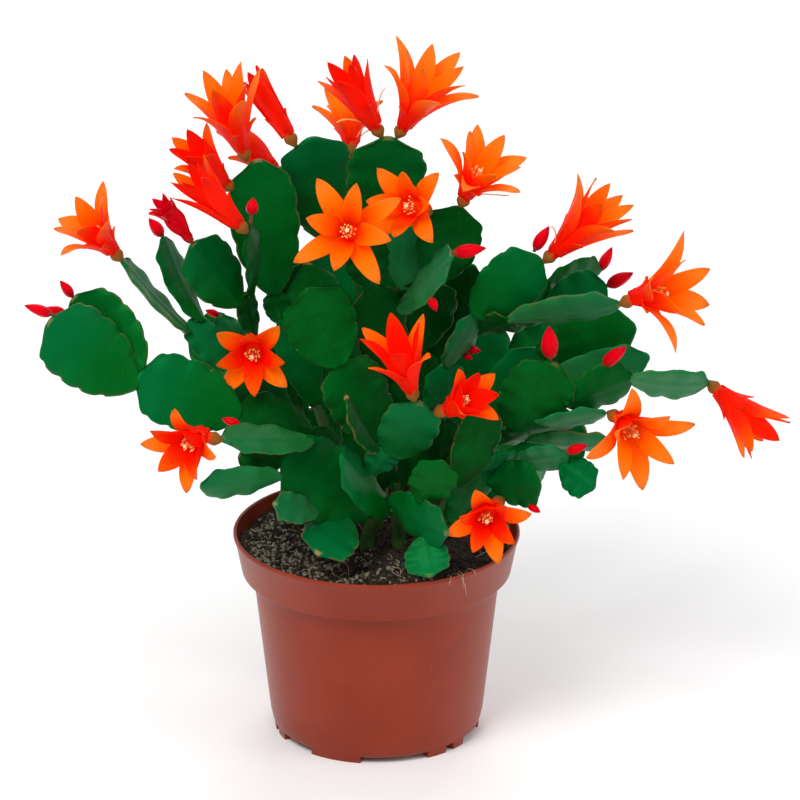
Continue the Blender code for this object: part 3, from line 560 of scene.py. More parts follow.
# Each bud: the pad that carries it, where round its end, the way it points, its length and width.
BUDS = {
    "bud_01": ("arm_5", 0, (-6, 8, 2), 9, 4.5),
    "bud_02": ("arm_5", -0.45, (-10, 3, 3), 9, 4.5),
    "bud_03": ("arm_4", 0.2, (-12, 4, 2), 12, 5.0),
    "bud_04": ("upper_3", 0, (-15, 20, 3), 25, 8.0),
    "bud_05": ("far_4", 0, (-6, 8, 2), 10, 5.5),
    "bud_06": ("upper_4", 0.4, (1, 10, -2), 10, 5.5),
    "bud_07": ("upper_5", 0, (-5, 2, 0), 6, 3.5),
    "bud_08": ("upper_5", -1.0, (-5, -2, 2), 6, 3.5),
    "bud_09": ("front_2", 0.8, (-11, 4, -2), 8, 4.0),
    "bud_10": ("right_5", 0, (14, 2, 3), 14, 6.0),
    "bud_11": ("right_5", 1.0, (3, -7, 3), 6, 4.0),
    "bud_12": ("reach_3", 1.4, (8, -1, 5), 6, 3.6),
    "bud_13": ("reach_3", 1.55, (7, -3, 6), 5, 3.0),
    "bud_14": ("reach_4", -0.35, (6, 10, 1), 12, 5.5),
    "bud_15": ("reach_9", 0, (5, 10, -2), 11, 5.0),
    "bud_16": ("reach_8", 0, (10, 5, 3), 13, 6.0),
    "bud_17": ("far_right_3", -0.2, (-1, 15, 2), 15, 7.5),
    "bud_18": ("far_right_6", -0.9, (10, 8, 5), 14, 6.0),
    "bud_19": ("low_4", -0.2, (10, 3, 2), 9, 4.5),
    "bud_20": ("low_3", 0.8, (5, -3, 4), 6, 3.5),
}
print("blooms:", len(BLOOMS), "buds:", len(BUDS))


# %% From the photograph's directions to the world's
def way(right, up, near):
    """A direction seen from the front as a world vector."""
    rise = (up + near * math.sin(LOOK_DOWN)) / math.cos(LOOK_DOWN)
    return Vector((right, -near, rise))


def place(right, up, near):
    """A point seen from the front as a world point, in millimetres."""
    return way(right, up, near * DEPTH_SPREAD) + UP * POT_HEIGHT


def across(direction):
    """Two unit vectors square to a direction and to each other."""
    hint = Vector((1, 0, 0)) if abs(direction.x) < 0.9 else UP
    side = (hint - direction * hint.dot(direction)).normalized()
    return side, direction.cross(side)


# %% [markdown]
# ## Pads
# An easter cactus has no leaves. Its stem is a chain of flat pads, each with shallow rounded
# lobes, a soft midrib and a blunt end where the next pad or a bloom sits. A pad is a sheet that is
# bent in space, so its master is a flat grid: across it runs from edge to edge and up it runs
# from neck to tip. Solidify makes it a closed slab, and a cut through the middle of its rim gives
# the rim a round edge.

# %% The flat master of a pad
PAD_COLUMNS = 12
PAD_ROWS = 42
flat_pad = add(bpy.ops.mesh.primitive_grid_add, "flat_pad", size=2,
               x_subdivisions=PAD_COLUMNS, y_subdivisions=PAD_ROWS)
apply(flat_pad, "SOLIDIFY", thickness=2.0, offset=0.0)
pick_faces(flat_pad, lambda centre, normal: True)
bpy.ops.mesh.bisect(plane_co=(0, 0, 0), plane_no=(0, 0, 1))
done()
PAD = Master(flat_pad)
print("pad master:", len(PAD.points), "points")

# %% [markdown]
# The outline is the measured model's: a slim neck, widest past the middle and blunt at the end,
# with a notch between each two lobes. Here each lobe swells slowly and then steps in at its
# shoulder, as the real pads do, and the tip's corners are rounded off.

# %% The form of a pad
NECK_HALF = 2.6
WIDEST = 0.58
TIP_REACH = 0.44
TIP_SHARE = 0.35
BROAD = 25.5
LOBES_BROAD = 4
LOBES_SMALL = 3
NOTCH = 0.09
SHALLOW = 0.05
SINK = 1.5
SHOULDERS = 3.2
ROUND_BASE = 0.62
RIM_HALF = 0.42
RIM_BULGE = 0.45
CORNER_ROUND = 0.05
RIPPLE = 0.5
RIB_HEIGHT = 0.4
RIB_WIDTH = 1.1
VALLEY_DEPTH = 0.16
VEIN_DEPTH = 0.16
NECK_SWELL = 0.6


class Pad:
    """One flat pad of a stem: its length from base to tip, its width and the way it faces."""

    def __init__(self, name, base, tip, width, turn):
        chance = random.Random(name)
        self.name = name
        self.base = base
        self.along = (tip - base).normalized()
        self.length = (tip - base).length
        self.half = width / 2
        to_viewer = Vector((0, -math.cos(LOOK_DOWN), math.sin(LOOK_DOWN)))
        facing = (to_viewer - self.along * to_viewer.dot(self.along)).normalized()
        facing.rotate(Matrix.Rotation(math.radians(turn), 3, self.along))
        self.normal = facing
        self.side = self.along.cross(facing).normalized()
        self.bow = chance.uniform(-0.05, 0.05) * self.length
        self.cup = chance.uniform(-0.06, 0.06) * width
        self.lobes = LOBES_BROAD if width > BROAD else LOBES_SMALL
        self.spans = 2 * self.lobes
        self.widths = [float(self.smooth_half(k / self.spans)) for k in range(self.spans + 1)]
        for k in range(2, self.spans, 2):
            self.widths[k] -= NOTCH * self.half

    def smooth_half(self, s):
        """Half the width without its notches."""
        rising = (1 - np.clip((WIDEST - s) / WIDEST, 0, 1) ** 2) ** 0.75
        falling = (1 - (np.clip(s - WIDEST, 0, TIP_REACH) / TIP_REACH) ** 2.4) ** 0.5
        share = np.where(s < WIDEST, rising, falling)
        return np.maximum(min(NECK_HALF, 0.64 * self.half), self.half * share)

    def full_half(self, s):
        """Half the width of the finer outline, rounder at its base and with fuller shoulders."""
        rising = (1 - np.clip((WIDEST - s) / WIDEST, 0, 1) ** 2) ** ROUND_BASE
        falling = (1 - (np.clip(s - WIDEST, 0, TIP_REACH) / TIP_REACH) ** SHOULDERS) ** 0.5
        return self.half * np.where(s < WIDEST, rising, falling)

    def edge_half(self, s):
        """Half the width of the measured model's notched outline."""
        return float(np.interp(s, np.linspace(0, 1, self.spans + 1), self.widths))

    def edge(self, at, outward):
        """A point on the edge round the pad's end, moved outward by some millimetres."""
        if abs(at) < TIP_SHARE:
            s = 1.0
            t = self.edge_half(1.0) * at / TIP_SHARE
        else:
            s = max(0.05, 1 - (abs(at) - TIP_SHARE) * (1 - WIDEST) / (1 - TIP_SHARE))
            t = math.copysign(self.edge_half(s), at)
        out = Vector(((s - 0.5) * self.length, t)).normalized() * outward
        s += out.x / self.length
        t += out.y
        off = self.bow * 4 * s * (1 - s) + self.cup * (t / self.half) ** 2
        return self.base + self.along * (s * self.length) + self.side * t + self.normal * off

    def outline(self, s):
        """Half the width with rounded lobes that step in at their shoulders."""
        lobes = self.lobes + 1
        past = (s * lobes) % 1.0
        inside = smooth(0.5 / lobes, 0.9 / lobes, s) * (1 - smooth(1 - 0.4 / lobes, 1.0, s))
        dip = np.where(past < 0.5, 1 - smooth(0.0, 0.4, past), smooth(0.84, 1.0, past)) * inside
        swell = 0.4 * np.sin(np.pi * past) * inside
        wide = np.maximum(self.full_half(s), min(0.65 * NECK_HALF, 0.42 * self.half))
        return wide + self.half * SHALLOW * (swell - dip)

    def skin(self, master):
        """Where the flat master's points go, and how far each is from the edge and the tip."""
        u, v, w = master.points.T
        v = (v + 1) / 2
        half = self.outline(v)
        on_rim = np.abs(w) < 0.5
        outward = np.where(on_rim, RIM_BULGE, 0.0)
        end = v > 0.999
        t = u * half + np.sign(u) * outward * (np.abs(u) > 0.999)
        rounding = CORNER_ROUND * np.abs(u) ** 2.2 * smooth(0.8, 1.0, v)
        s = v - rounding + outward * end / self.length
        shared = np.sin(2 * math.pi * (v * self.lobes + 0.2)) * u ** 2
        off = self.bow * 4 * v * (1 - v) + self.cup * u ** 2 + RIPPLE * shared
        body = 0.8 + 0.05 * self.half
        middle = 1 - np.abs(u) ** 2.4
        ends = smooth(-0.15, 0.2, v) * (1 - 0.35 * smooth(0.8, 1.0, v))
        rib = RIB_HEIGHT * np.exp(-(t / RIB_WIDTH) ** 2) * (1 - 0.6 * v)
        valley = VALLEY_DEPTH * np.exp(-((np.abs(t) - 2.8) / 1.3) ** 2)
        veins = VEIN_DEPTH * middle * np.cos(math.pi * (v * self.spans + 1.5 * (1 - np.abs(u))))
        height = RIM_HALF + (body - RIM_HALF) * middle * ends
        height = height + (rib - valley) * ends - veins * np.abs(u)
        neck = 1 - smooth(0.0, 0.12, v)
        height += NECK_SWELL * neck * (1 - u ** 2)
        off = off + np.where(on_rim, 0.0, np.sign(w) * height)
        points = (np.array(self.base) + np.outer(s * self.length, self.along)
                  + np.outer(t, self.side) + np.outer(off, self.normal))
        return points, half * (1 - np.abs(u)), (1 - v) * self.length


def lay_out_pads():
    """Every pad of every stem, each stood on the edge of the pad that carries it."""
    pads = {}
    for _, bend, rows in STEMS.values():
        for name, carrier, at, tip, width, turn in rows:
            base = pads[carrier].edge(at, -SINK) if carrier else place(*bend)
            pads[name] = Pad(name, base, place(*tip), width, turn)
    return pads


PADS = lay_out_pads()
CARRIERS = {row[1] for _, _, rows in STEMS.values() for row in rows}
print("longest pad:", round(max(pad.length for pad in PADS.values())), "mm")

# %% [markdown]
# Up close, each notch and the blunt tip of a pad hold a small corky cushion with a few bristles.
# A bristle is a thin cone, far too many to model one by one, so one three-sided cone is copied to
# each place.

# %% Bristles
BRISTLE_LENGTH = 1.3
bristle = add(bpy.ops.mesh.primitive_cone_add, "bristle", vertices=3, radius1=0.07, radius2=0.0,
              depth=BRISTLE_LENGTH, location=(0, 0, BRISTLE_LENGTH / 2))
bpy.ops.object.transform_apply(location=True, rotation=True, scale=True)
BRISTLE = Master(bristle)


def put_bristles(growth, pad, chance):
    """Bristles at the tip and the notches of a pad."""
    spots = [(0.0, 6)] if pad.name not in CARRIERS else []
    spots += [(hand * at, 2) for hand in (1, -1) for at in (0.75, 1.3, 1.9)]
    for at, count in spots:
        low = pad.edge(at, -0.3)
        out = (pad.edge(at, 1.0) - low).normalized()
        for _ in range(count):
            spread = Vector([chance.gauss(0, 0.45) for _ in range(3)])
            lean = (out + spread).normalized().to_track_quat("Z", "Y").to_matrix().to_4x4()
            points = moved(BRISTLE.points, Matrix.Translation(low) @ lean)
            growth.put(BRISTLE, points, finish=1)


# %% [markdown]
# ## Woody feet
# The oldest part of each stem has turned to wood: a round greenish stalk that comes up out of the
# soil. Its master is a flat grid rolled up into a tube with its ends closed. Its rings follow a
# smooth course from the measured model's hole to the first pad, and swell slightly here and there.

# %% The master of a stalk, and a stalk's course
STALK_SIDES = 12
STALK_RINGS = 16
FOOT_KNOTS = 14
stalk = add(bpy.ops.mesh.primitive_grid_add, "stalk", size=2,
            x_subdivisions=STALK_SIDES, y_subdivisions=STALK_RINGS)


def roll_up(shape, sides):
    """Rolls a flat grid into a tube of radius 1 and height 1 round Z and closes its ends."""
    count = len(shape.data.vertices)
    flat = np.zeros(count * 3)
    shape.data.vertices.foreach_get("co", flat)
    flat = flat.reshape(-1, 3)
    turn = (flat[:, 0] + 1) * math.pi
    rolled = np.stack([np.cos(turn), np.sin(turn), (flat[:, 1] + 1) / 2], axis=1)
    shape.data.vertices.foreach_set("co", rolled.ravel())
    only(shape)
    bpy.ops.object.mode_set(mode="EDIT")
    bpy.ops.mesh.select_all(action="SELECT")
    bpy.ops.mesh.remove_doubles(threshold=1e-5)
    bpy.ops.mesh.select_all(action="DESELECT")
    bpy.ops.mesh.select_mode(type="EDGE")
    bpy.ops.mesh.select_non_manifold(extend=False)
    bpy.ops.mesh.fill_holes(sides=sides)
    bpy.ops.mesh.select_all(action="SELECT")
    bpy.ops.mesh.normals_make_consistent(inside=False)
    bpy.ops.object.mode_set(mode="OBJECT")
    return shape


STALK = Master(roll_up(stalk, STALK_SIDES))


def along_course(master, course, radius):
    """A tube's points along a smooth course: lists of points and radii, evenly spread over it."""
    centres = np.array(course)
    spread = np.linspace(0, 1, len(course))
    x, y, z = master.points.T
    middle = np.stack([np.interp(z, spread, centres[:, k]) for k in range(3)], axis=1)
    ways = np.gradient(centres, axis=0)
    ways /= np.linalg.norm(ways, axis=1)[:, None]
    ahead_of = np.stack([np.interp(z, spread, ways[:, k]) for k in range(3)], axis=1)
    ahead_of /= np.linalg.norm(ahead_of, axis=1)[:, None]
    hint = np.array((1.0, 0.0, 0.0)) if abs(ways[:, 0]).max() < 0.9 else np.array((0.0, 1.0, 0.0))
    side = hint - ahead_of * (ahead_of @ hint)[:, None]
    side /= np.linalg.norm(side, axis=1)[:, None]
    up = np.cross(ahead_of, side)
    reach = np.interp(z, spread, radius)
    return middle + reach[:, None] * (x[:, None] * side + y[:, None] * up)


def bezier(points, count):
    """Evenly numbered points on the Bezier curve of four points."""
    a, b, c, d = (np.array(p) for p in points)
    t = np.linspace(0, 1, count)[:, None]
    return (1 - t) ** 3 * a + 3 * t * (1 - t) ** 2 * b + 3 * t ** 2 * (1 - t) * c + t ** 3 * d


def put_foot(growth, foot, bend, first_way, chance):
    """The woody foot of a stem, from its hole in the soil to its first pad."""
    low = Vector((*foot, SOIL_TOP - FOOT_DEEP + 1))
    top = Vector((*foot, SOIL_TOP + 3.0))
    end = bend + first_way * 4.0
    reach = (end - top).length
    course = list(bezier((low, low.lerp(top, 0.5), low.lerp(top, 0.8), top), 4)[:-1])
    bent = (top, top + UP * reach * 0.3, end - first_way * reach * 0.3, end)
    course += list(bezier(bent, FOOT_KNOTS))
    radius = [FOOT_RADIUS * 0.95] * 3
    for k in range(FOOT_KNOTS):
        share = k / (FOOT_KNOTS - 1)
        knot = 0.22 * math.sin(k * 1.9 + foot[0]) + chance.uniform(-0.08, 0.08)
        radius.append((1 - share) * FOOT_RADIUS + share * STEM_RADIUS * 0.75 + knot)
    points = along_course(STALK, course, radius)
    growth.put(STALK, points, wood=1.0, from_edge=5.0, from_tip=30.0, tone=0.4)


# %% [markdown]
# ## Pad skin
# Pads are waxy and smooth. Most are a deep emerald and some are lighter, so each pad carries a tone of
# its own. That tone is partly the pad's own green and partly painted light and shade: lit pads get
# lighter tones, shaded ones darker, and those seen from below a greyish green that is a painted
# reflection. On older pads a thin broken line along the edge is brown, and the middle of the blunt end is
# tan and corky. The numbers that each point carries, its distance from the edge and from the tip, place
# these. The feet have a greenish bark, because the stems that show above the soil in the photograph are
# green.

# %% Pad skin
skin = Finish("pad_skin", Specular_IOR_Level=0.28, Specular_Tint=(0.06, 0.85, 0.16, 1.0))
tone = skin.number("tone")
from_edge = skin.number("from_edge")
from_tip = skin.number("from_tip")
wood = skin.number("wood")
age = skin.number("age")
lumps = skin.noise(60.0, 4.0, 0.6)
fine = skin.noise(900.0, 3.0, 0.6)
# Painted light and shade: the tone lightens lit pads, darkens shaded ones and greys those seen from
# below, on top of each pad's own green.
deep = skin.mix(tone.step(0.0, 0.5), (0.0, 0.026, 0.001), (0.0, 0.085, 0.007))
green = skin.mix(tone.step(0.5, 1.0), deep, (0.030, 0.220, 0.065))
green = skin.mix(lumps.step(0.35, 0.75) * 0.4, green, (0.0, 0.135, 0.020))
green = skin.mix(fine.step(0.5, 0.8) * 0.10, green, (0.04, 0.20, 0.04))
broken = skin.noise(260.0, 2.0).step(0.38, 0.55)
edge_line = from_edge.step(0.38, 0.05) * broken * age
tip_sheen = from_tip.step(36.0, 4.0) * tone.step(0.28, 0.5) * 0.5
green = skin.mix(tip_sheen, green, (0.0, 0.125, 0.045))
green = skin.mix(edge_line * 0.6, green, (0.17, 0.09, 0.03))
off_middle = (skin.from_uv(0) - 0.5).size()
cork = (from_tip + 0.8 * fine).step(1.6, 0.6) * off_middle.step(0.22, 0.08) * age
green = skin.mix(cork * 0.8, green, (0.33, 0.20, 0.09))
bark = skin.mix(fine, (0.012, 0.050, 0.010), (0.070, 0.125, 0.035))
skin_colour = skin.mix(wood, green, bark)
skin_relief = skin.bump(fine + 1.5 * lumps, 0.00010)
PAD_SKIN = skin.set(Base_Color=skin_colour, Normal=skin_relief,
                    Roughness=0.36 + 0.1 * lumps + 0.35 * wood + 0.25 * cork)

straw = Finish("bristle", Roughness=0.6)
straw_colour = straw.mix(straw.noise(800.0), (0.42, 0.26, 0.12), (0.75, 0.6, 0.38))
BRISTLE_FINISH = straw.set(Base_Color=straw_colour)

# %% [markdown]
# ## Leafy stems
# A stem is its woody foot, its pads and their bristles, grown together in one piece that stands
# for the measured model's stem.

# %% Leafy stems
PAD_NUMBERS = ("tone", "from_edge", "from_tip", "wood", "age")

# Tones given for pads that stand out: 0 is the darkest and 1 is the greyish light one.
# The tones are partly each pad's own green and partly painted light and shade: lit pads are lighter, pads
# in shade are darker, and the greyish ones seen from below carry a painted reflection.
TONES_AND_PAINTED_LIGHT = {
    "arm_2": 0.15, "arm_3": 0.45, "arm_4": 0.5, "arm_5": 0.35, "front_1": 0.35, "front_2": 0.7,
    "front_3": 0.2, "front_4": 0.75, "front_5": 0.8, "front_6": 0.55, "centre_1": 0.5,
    "centre_2": 0.6, "centre_3": 0.6, "centre_4": 0.25, "centre_5": 0.45, "centre_6": 0.3,
    "centre_7": 0.6, "middle_2": 0.2, "middle_3": 0.25, "tall_3": 0.35, "tall_4": 0.2,
    "upper_3": 0.4, "upper_4": 0.25, "far_1": 0.6, "far_2": 0.6, "far_3": 0.65, "far_4": 0.4,
    "top_4": 0.45, "top_6": 0.35, "right_3": 0.2, "right_4": 0.15, "right_5": 0.8, "right_7": 0.75,
    "right_8": 0.2, "right_9": 0.2, "reach_3": 0.6, "reach_4": 0.4, "reach_7": 0.8,
    "far_right_3": 0.25, "far_right_4": 0.8, "far_right_5": 0.75, "far_right_6": 0.35,
    "far_right_8": 0.3, "far_right_9": 0.8, "far_right_10": 0.95, "low_3": 0.35, "low_4": 0.85,
    "low_5": 0.45, "low_6": 0.15, "low_7": 0.6,
}


def grow_stem(name):
    """A leafy stem in one piece: its foot, then each pad with its tone, age and bristles."""
    foot, bend, rows = STEMS[name]
    chance = random.Random(name + "_looks")
    growth = Growth(name + "_pads", (PAD_SKIN, BRISTLE_FINISH), PAD_NUMBERS)
    put_foot(growth, foot, place(*bend), PADS[rows[0][0]].along, chance)
    for row in rows:
        pad = PADS[row[0]]
        points, from_edge, from_tip = pad.skin(PAD)
        shade = TONES_AND_PAINTED_LIGHT.get(row[0], chance.uniform(0.15, 0.5))
        growth.put(PAD, points, tone=shade, from_edge=from_edge, from_tip=from_tip,
                   age=max(0.0, chance.uniform(-0.7, 1.0)))
        put_bristles(growth, pad, chance)
    stem = growth.grown()
    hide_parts(name)
    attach(stem, "root")
    return stem


stems = [grow_stem(name) for name in STEMS]
print("stems:", len(stems), "faces:", sum(len(stem.data.polygons) for stem in stems))

# %% [markdown]
# ## Petals
# A bloom has two layers of pointed petals on a short tube. A petal is a thin blade, hollow along
# its middle and bent outwards along its length. Its master is a flat grid again, made solid with a
# rounded rim.

# %% The flat master of a petal
PETAL_COLUMNS = 8
PETAL_ROWS = 16
flat_petal = add(bpy.ops.mesh.primitive_grid_add, "flat_petal", size=2,
                 x_subdivisions=PETAL_COLUMNS, y_subdivisions=PETAL_ROWS)
apply(flat_petal, "SOLIDIFY", thickness=2.0, offset=0.0)
pick_faces(flat_petal, lambda centre, normal: True)
bpy.ops.mesh.bisect(plane_co=(0, 0, 0), plane_no=(0, 0, 1))
done()
PETAL = Master(flat_petal)
print("petal master:", len(PETAL.points), "points")

# %% The form of a petal
PETAL_WIDTH = 9.4
PETAL_THICK = 0.55
PETAL_STEPS = 60
PETAL_RIM_BULGE = 0.12
PETAL_RIB = 0.18
PETAL_WAVE = 0.35
THROAT = 4.0
INNER_SPREAD = 0.58


def petal_points(master, angle, spread, root, length, width, cup, curl):
    """A petal in a bloom whose mouth faces up. It follows the throat, then leans out by a spread
    that grows to its tip. The root is its start: how far out, and how high."""
    u, v, w = master.points.T
    v = (v + 1) / 2
    steps = np.linspace(0, 1, PETAL_STEPS + 1)
    whole = length + THROAT
    past = np.clip((steps * whole - 0.6 * THROAT) / length, 0, 1)
    throat = 1 - smooth(0.5 * THROAT, 1.5 * THROAT, steps * whole)
    lean = math.radians(spread) * (0.52 + 0.7 * past) + math.radians(curl) * past ** 4
    lean = throat * math.radians(14) * min(1.0, spread / 20) + (1 - throat) * lean
    out = np.concatenate([[0], np.cumsum(np.sin(lean[:-1]))]) / PETAL_STEPS * whole
    rise = np.concatenate([[0], np.cumsum(np.cos(lean[:-1]))]) / PETAL_STEPS * whole
    narrow = 0.38 + 0.62 * smooth(0.0, 0.48, v)
    taper = (1 - np.clip((v - 0.45) / 0.55, 0, 1) ** 2.3) ** 0.85
    half = width / 2 * narrow * (0.03 + 0.97 * taper)
    on_rim = np.abs(w) < 0.5
    bulge = np.where(on_rim, PETAL_RIM_BULGE, 0.0) * (np.abs(u) > 0.999)
    across_it = u * half + np.sign(u) * bulge
    here = np.interp(v, steps, lean)
    ahead_x, ahead_z = np.sin(here), np.cos(here)
    rib = PETAL_RIB * np.exp(-(across_it / 0.5) ** 2) * (1 - v)
    thick = PETAL_THICK / 2 * (1.15 - 0.55 * v) * (1 - 0.5 * u ** 2) + 0.05
    hollow = cup * (u * half) ** 2 / max(width / 2, 1)
    hollow = hollow + PETAL_WAVE * np.sin(8 * v + angle * 3) * u ** 3 * v
    lift = hollow + np.where(on_rim, 0.0, np.where(w > 0, thick, -thick - rib))
    radial = root[0] + np.interp(v, steps, out) - lift * ahead_z
    height = root[1] + np.interp(v, steps, rise) + lift * ahead_x
    x = radial * math.cos(angle) - across_it * math.sin(angle)
    y = radial * math.sin(angle) + across_it * math.cos(angle)
    return np.stack([x, y, height], axis=1), (w > 0).astype(float)


# %% [markdown]
# ## Tube and ovary
# Under the petals is a short tube, and under that the ovary, a small angled knob that will become
# the fruit. A grid rolled up like the stalk's makes both, with rings that swell at the ovary,
# narrow at its neck and open towards the mouth.

# %% The master of a tube
TUBE_SIDES = 20
tube = add(bpy.ops.mesh.primitive_grid_add, "tube", size=2, x_subdivisions=TUBE_SIDES,
           y_subdivisions=20)
TUBE = Master(roll_up(tube, TUBE_SIDES))
TUBE_LENGTH = 11.0
SEAT_GAP = 0.7
TUBE_RADII = (0.75, 1.5, 2.3, 2.8, 2.9, 2.6, 2.4, 2.5, 2.8, 3.1, 3.4, 3.5, 3.4, 3.0, 2.3, 0.9)


# %% [markdown]
# ## Stamens and style
# The mouth holds a brush of thin pale stamens round one style, which ends in a small pale star.
# A stamen is a bent thread with a cream knob on its end: the threads come from a thin rolled tube
# and the knobs from a small ball of twenty faces.

# %% Masters of the threads and knobs
THREAD_SIDES = 5
thread = add(bpy.ops.mesh.primitive_grid_add, "thread", size=2, x_subdivisions=THREAD_SIDES,
             y_subdivisions=6)
THREAD = Master(roll_up(thread, THREAD_SIDES))
knob = add(bpy.ops.mesh.primitive_ico_sphere_add, "knob", subdivisions=1, radius=1.0)
KNOB = Master(knob)
THREAD_POINTS = 7
THREAD_RADIUS = 0.3
STAMEN_RADIUS = 0.2
LOBE_RADIUS = 0.28
CURLED_THREADS = 2
STAMENS = 20
STAMEN_DEPTH = 2.5
KNOB_SIZE = (0.42, 0.42, 1.4, 1.0)
STIGMA_LOBES = 5


def put_thread(growth, frame_of, ends, radius, finish):
    """A thread on a bent course in a bloom's own frame."""
    course = [frame_of @ Vector(p) for p in bezier(ends, THREAD_POINTS)]
    growth.put(THREAD, along_course(THREAD, course, [radius] * THREAD_POINTS), finish=finish)
    return course[-1], (course[-1] - course[-2]).normalized()


def put_stamens(growth, frame_of, length, spread, chance):
    """The brush of stamens and the style with its star."""
    lean = min(0.3, 0.005 * spread)
    for k in range(STAMENS):
        turn = math.tau * (k + chance.uniform(-0.3, 0.3)) / STAMENS
        out = lean * chance.uniform(0.2, 1.1)
        tall = STAMEN_DEPTH + length * chance.uniform(0.16, 0.32)
        side = Vector((math.cos(turn), math.sin(turn), 0))
        start = chance.uniform(0.5, 1.4)
        low = side * start - UP * STAMEN_DEPTH
        high = side * (start + tall * out) + UP * (tall - STAMEN_DEPTH)
        ends = (low, low + UP * tall * 0.4, high - UP * tall * 0.3, high)
        tip, ahead_of = put_thread(growth, frame_of, ends, STAMEN_RADIUS, 1)
        turned = ahead_of.to_track_quat("Z", "Y").to_matrix().to_4x4()
        shape = Matrix.Diagonal(KNOB_SIZE)
        growth.put(KNOB, moved(KNOB.points, Matrix.Translation(tip) @ turned @ shape), finish=2)
    style = length * 0.36
    ends = (-UP * STAMEN_DEPTH, UP * style * 0.3, UP * style * 0.6, UP * style)
    put_thread(growth, frame_of, ends, THREAD_RADIUS, 1)
    for k in range(STIGMA_LOBES):
        turn = math.tau * k / STIGMA_LOBES
        side = Vector((math.cos(turn), math.sin(turn), 0))
        low = UP * (style - 0.3)
        high = low + side * 1.0 + UP * 1.0
        ends = (low, low + UP * 0.5, high - side * 0.5, high)
        put_thread(growth, frame_of, ends, LOBE_RADIUS, 3)


# %% [markdown]
# Five of the blooms get two thin threads each, which lean out past the petals and curl at their
# ends. They are copies of the same thread as the stamens.

# %% Curled threads
def put_curled_threads(growth, frame_of, length, spread, chance):
    """Two thin threads that lean out past the petals and curl at their ends."""
    lean = math.radians(0.9 * spread + 12)
    for _ in range(CURLED_THREADS):
        angle = chance.uniform(0, math.tau)
        outward = Vector((math.cos(angle), math.sin(angle), 0))
        along_it = outward * math.sin(lean) + UP * math.cos(lean)
        tall = length * chance.uniform(0.5, 0.75)
        low = outward * 2.2 - UP * (THROAT + 2.0)
        curl = outward * chance.uniform(-0.1, 0.35) - UP * chance.uniform(-0.1, 0.25)
        high = low + along_it * tall + curl * tall
        ends = (low, low + UP * tall * 0.3, low + along_it * tall, high)
        put_thread(growth, frame_of, ends, THREAD_RADIUS, 1)


# %% [markdown]
# ## Petal skin
# The petals go from red at the root through orange, and their backs are redder than their insides.
# Towards the tip they turn a paler, peach orange, which is a painted highlight. How red a whole bloom is
# comes from its row in the table. The tube is the same skin, shading to the brownish olive of the ovary.
# Fine lines run along each petal, in relief and as darker bands of painted shade along its grooves. A
# faint glow of the petal's own colour stands for the light that passes through it.

# %% Petal, stamen and stigma finishes
petal = Finish("petal_skin", Specular_IOR_Level=0.22, Specular_Tint=(1.0, 0.45, 0.12, 1.0),
               Emission_Strength=0.2)
along = petal.from_uv(1)
red = petal.number("red")
inside = petal.number("inside")
olive = petal.number("olive")
shade = petal.noise(140.0, 4.0)
heat = (along * 1.15 + 0.6 * inside - 0.9 * red + 0.4 * shade - 0.38).step(0.0, 1.0)
warm = petal.mix(heat, (0.90, 0.003, 0.0), (1.0, 0.15, 0.0))
# Painted highlight: the petal tips are lightened to a pale peach orange.
painted_tip_highlight = (along - 0.4 * red + 0.25 * inside).step(0.7, 1.2) * 0.6
warm = petal.mix(painted_tip_highlight, warm, (1.0, 0.27, 0.03))
yellow = (0.3 - 1.6 * red).step(0.0, 1.0) * (along + 0.3 * inside).step(0.3, 0.8)
warm = petal.mix(yellow * 0.7, warm, (1.0, 0.25, 0.0))
lines_and_groove_shade = petal.node("ShaderNodeTexWave", {"wave_type": "BANDS", "bands_direction": "X"},
                   {"Vector": petal.node("ShaderNodeTexCoord", output="UV"), "Scale": 5.5,
                    "Distortion": 0.6, "Detail": 1.0}, output="Fac")
# Painted shade: the bands darken the petal a little along its grooves; the same bands give its relief.
warm = petal.mix(lines_and_groove_shade * 0.16 * (1 - olive), warm, (0.95, 0.03, 0.0))
petal_colour = petal.mix(olive, warm, (0.20, 0.075, 0.012))
PETAL_SKIN = petal.set(Base_Color=petal_colour, Emission_Color=petal_colour,
                       Roughness=0.4 + 0.15 * shade,
                       Normal=petal.bump(lines_and_groove_shade, 0.00015))

pale = Finish("filament", Roughness=0.5)
FILAMENT = pale.set(Base_Color=pale.mix(pale.noise(500.0), (1.0, 0.30, 0.08), (1.0, 0.52, 0.22)))
cream = Finish("pollen", Roughness=0.8)
POLLEN = cream.set(Base_Color=cream.mix(cream.noise(1500.0), (1.0, 0.48, 0.08), (1.0, 0.70, 0.22)))
white = Finish("stigma", Roughness=0.55)
STIGMA = white.set(Base_Color=white.mix(white.noise(900.0), (1.0, 0.70, 0.38), (1.0, 0.88, 0.62)))

# %% [markdown]
# ## Blooms
# A bloom is its tube, two layers of petals and four small sepals, grown together in one piece. It
# grows from the edge of a pad, and its tube bends from the way it grows to the way its mouth faces.
# The inner petals stand between the outer ones and are steeper. Blooms that have opened wide enough
# to show their inside get stamens. Each table row says where a bloom sits and how far it is open.

# %% Blooms
BLOOM_NUMBERS = ("red", "inside", "olive")
PETAL_ROOTS = ((3.1, -THROAT - 1.0), (2.7, -THROAT - 0.1))
SEPALS = 4
SEPAL_WIDTH = 5.8
SEPAL_ROOT = (2.7, -THROAT - 2.4)
OPEN_SPREAD = 25
SLIM_SPREAD = 20
SLIM_SHARE = 0.85
THREADED = ("bloom_05", "bloom_07", "bloom_08", "bloom_12", "bloom_13")


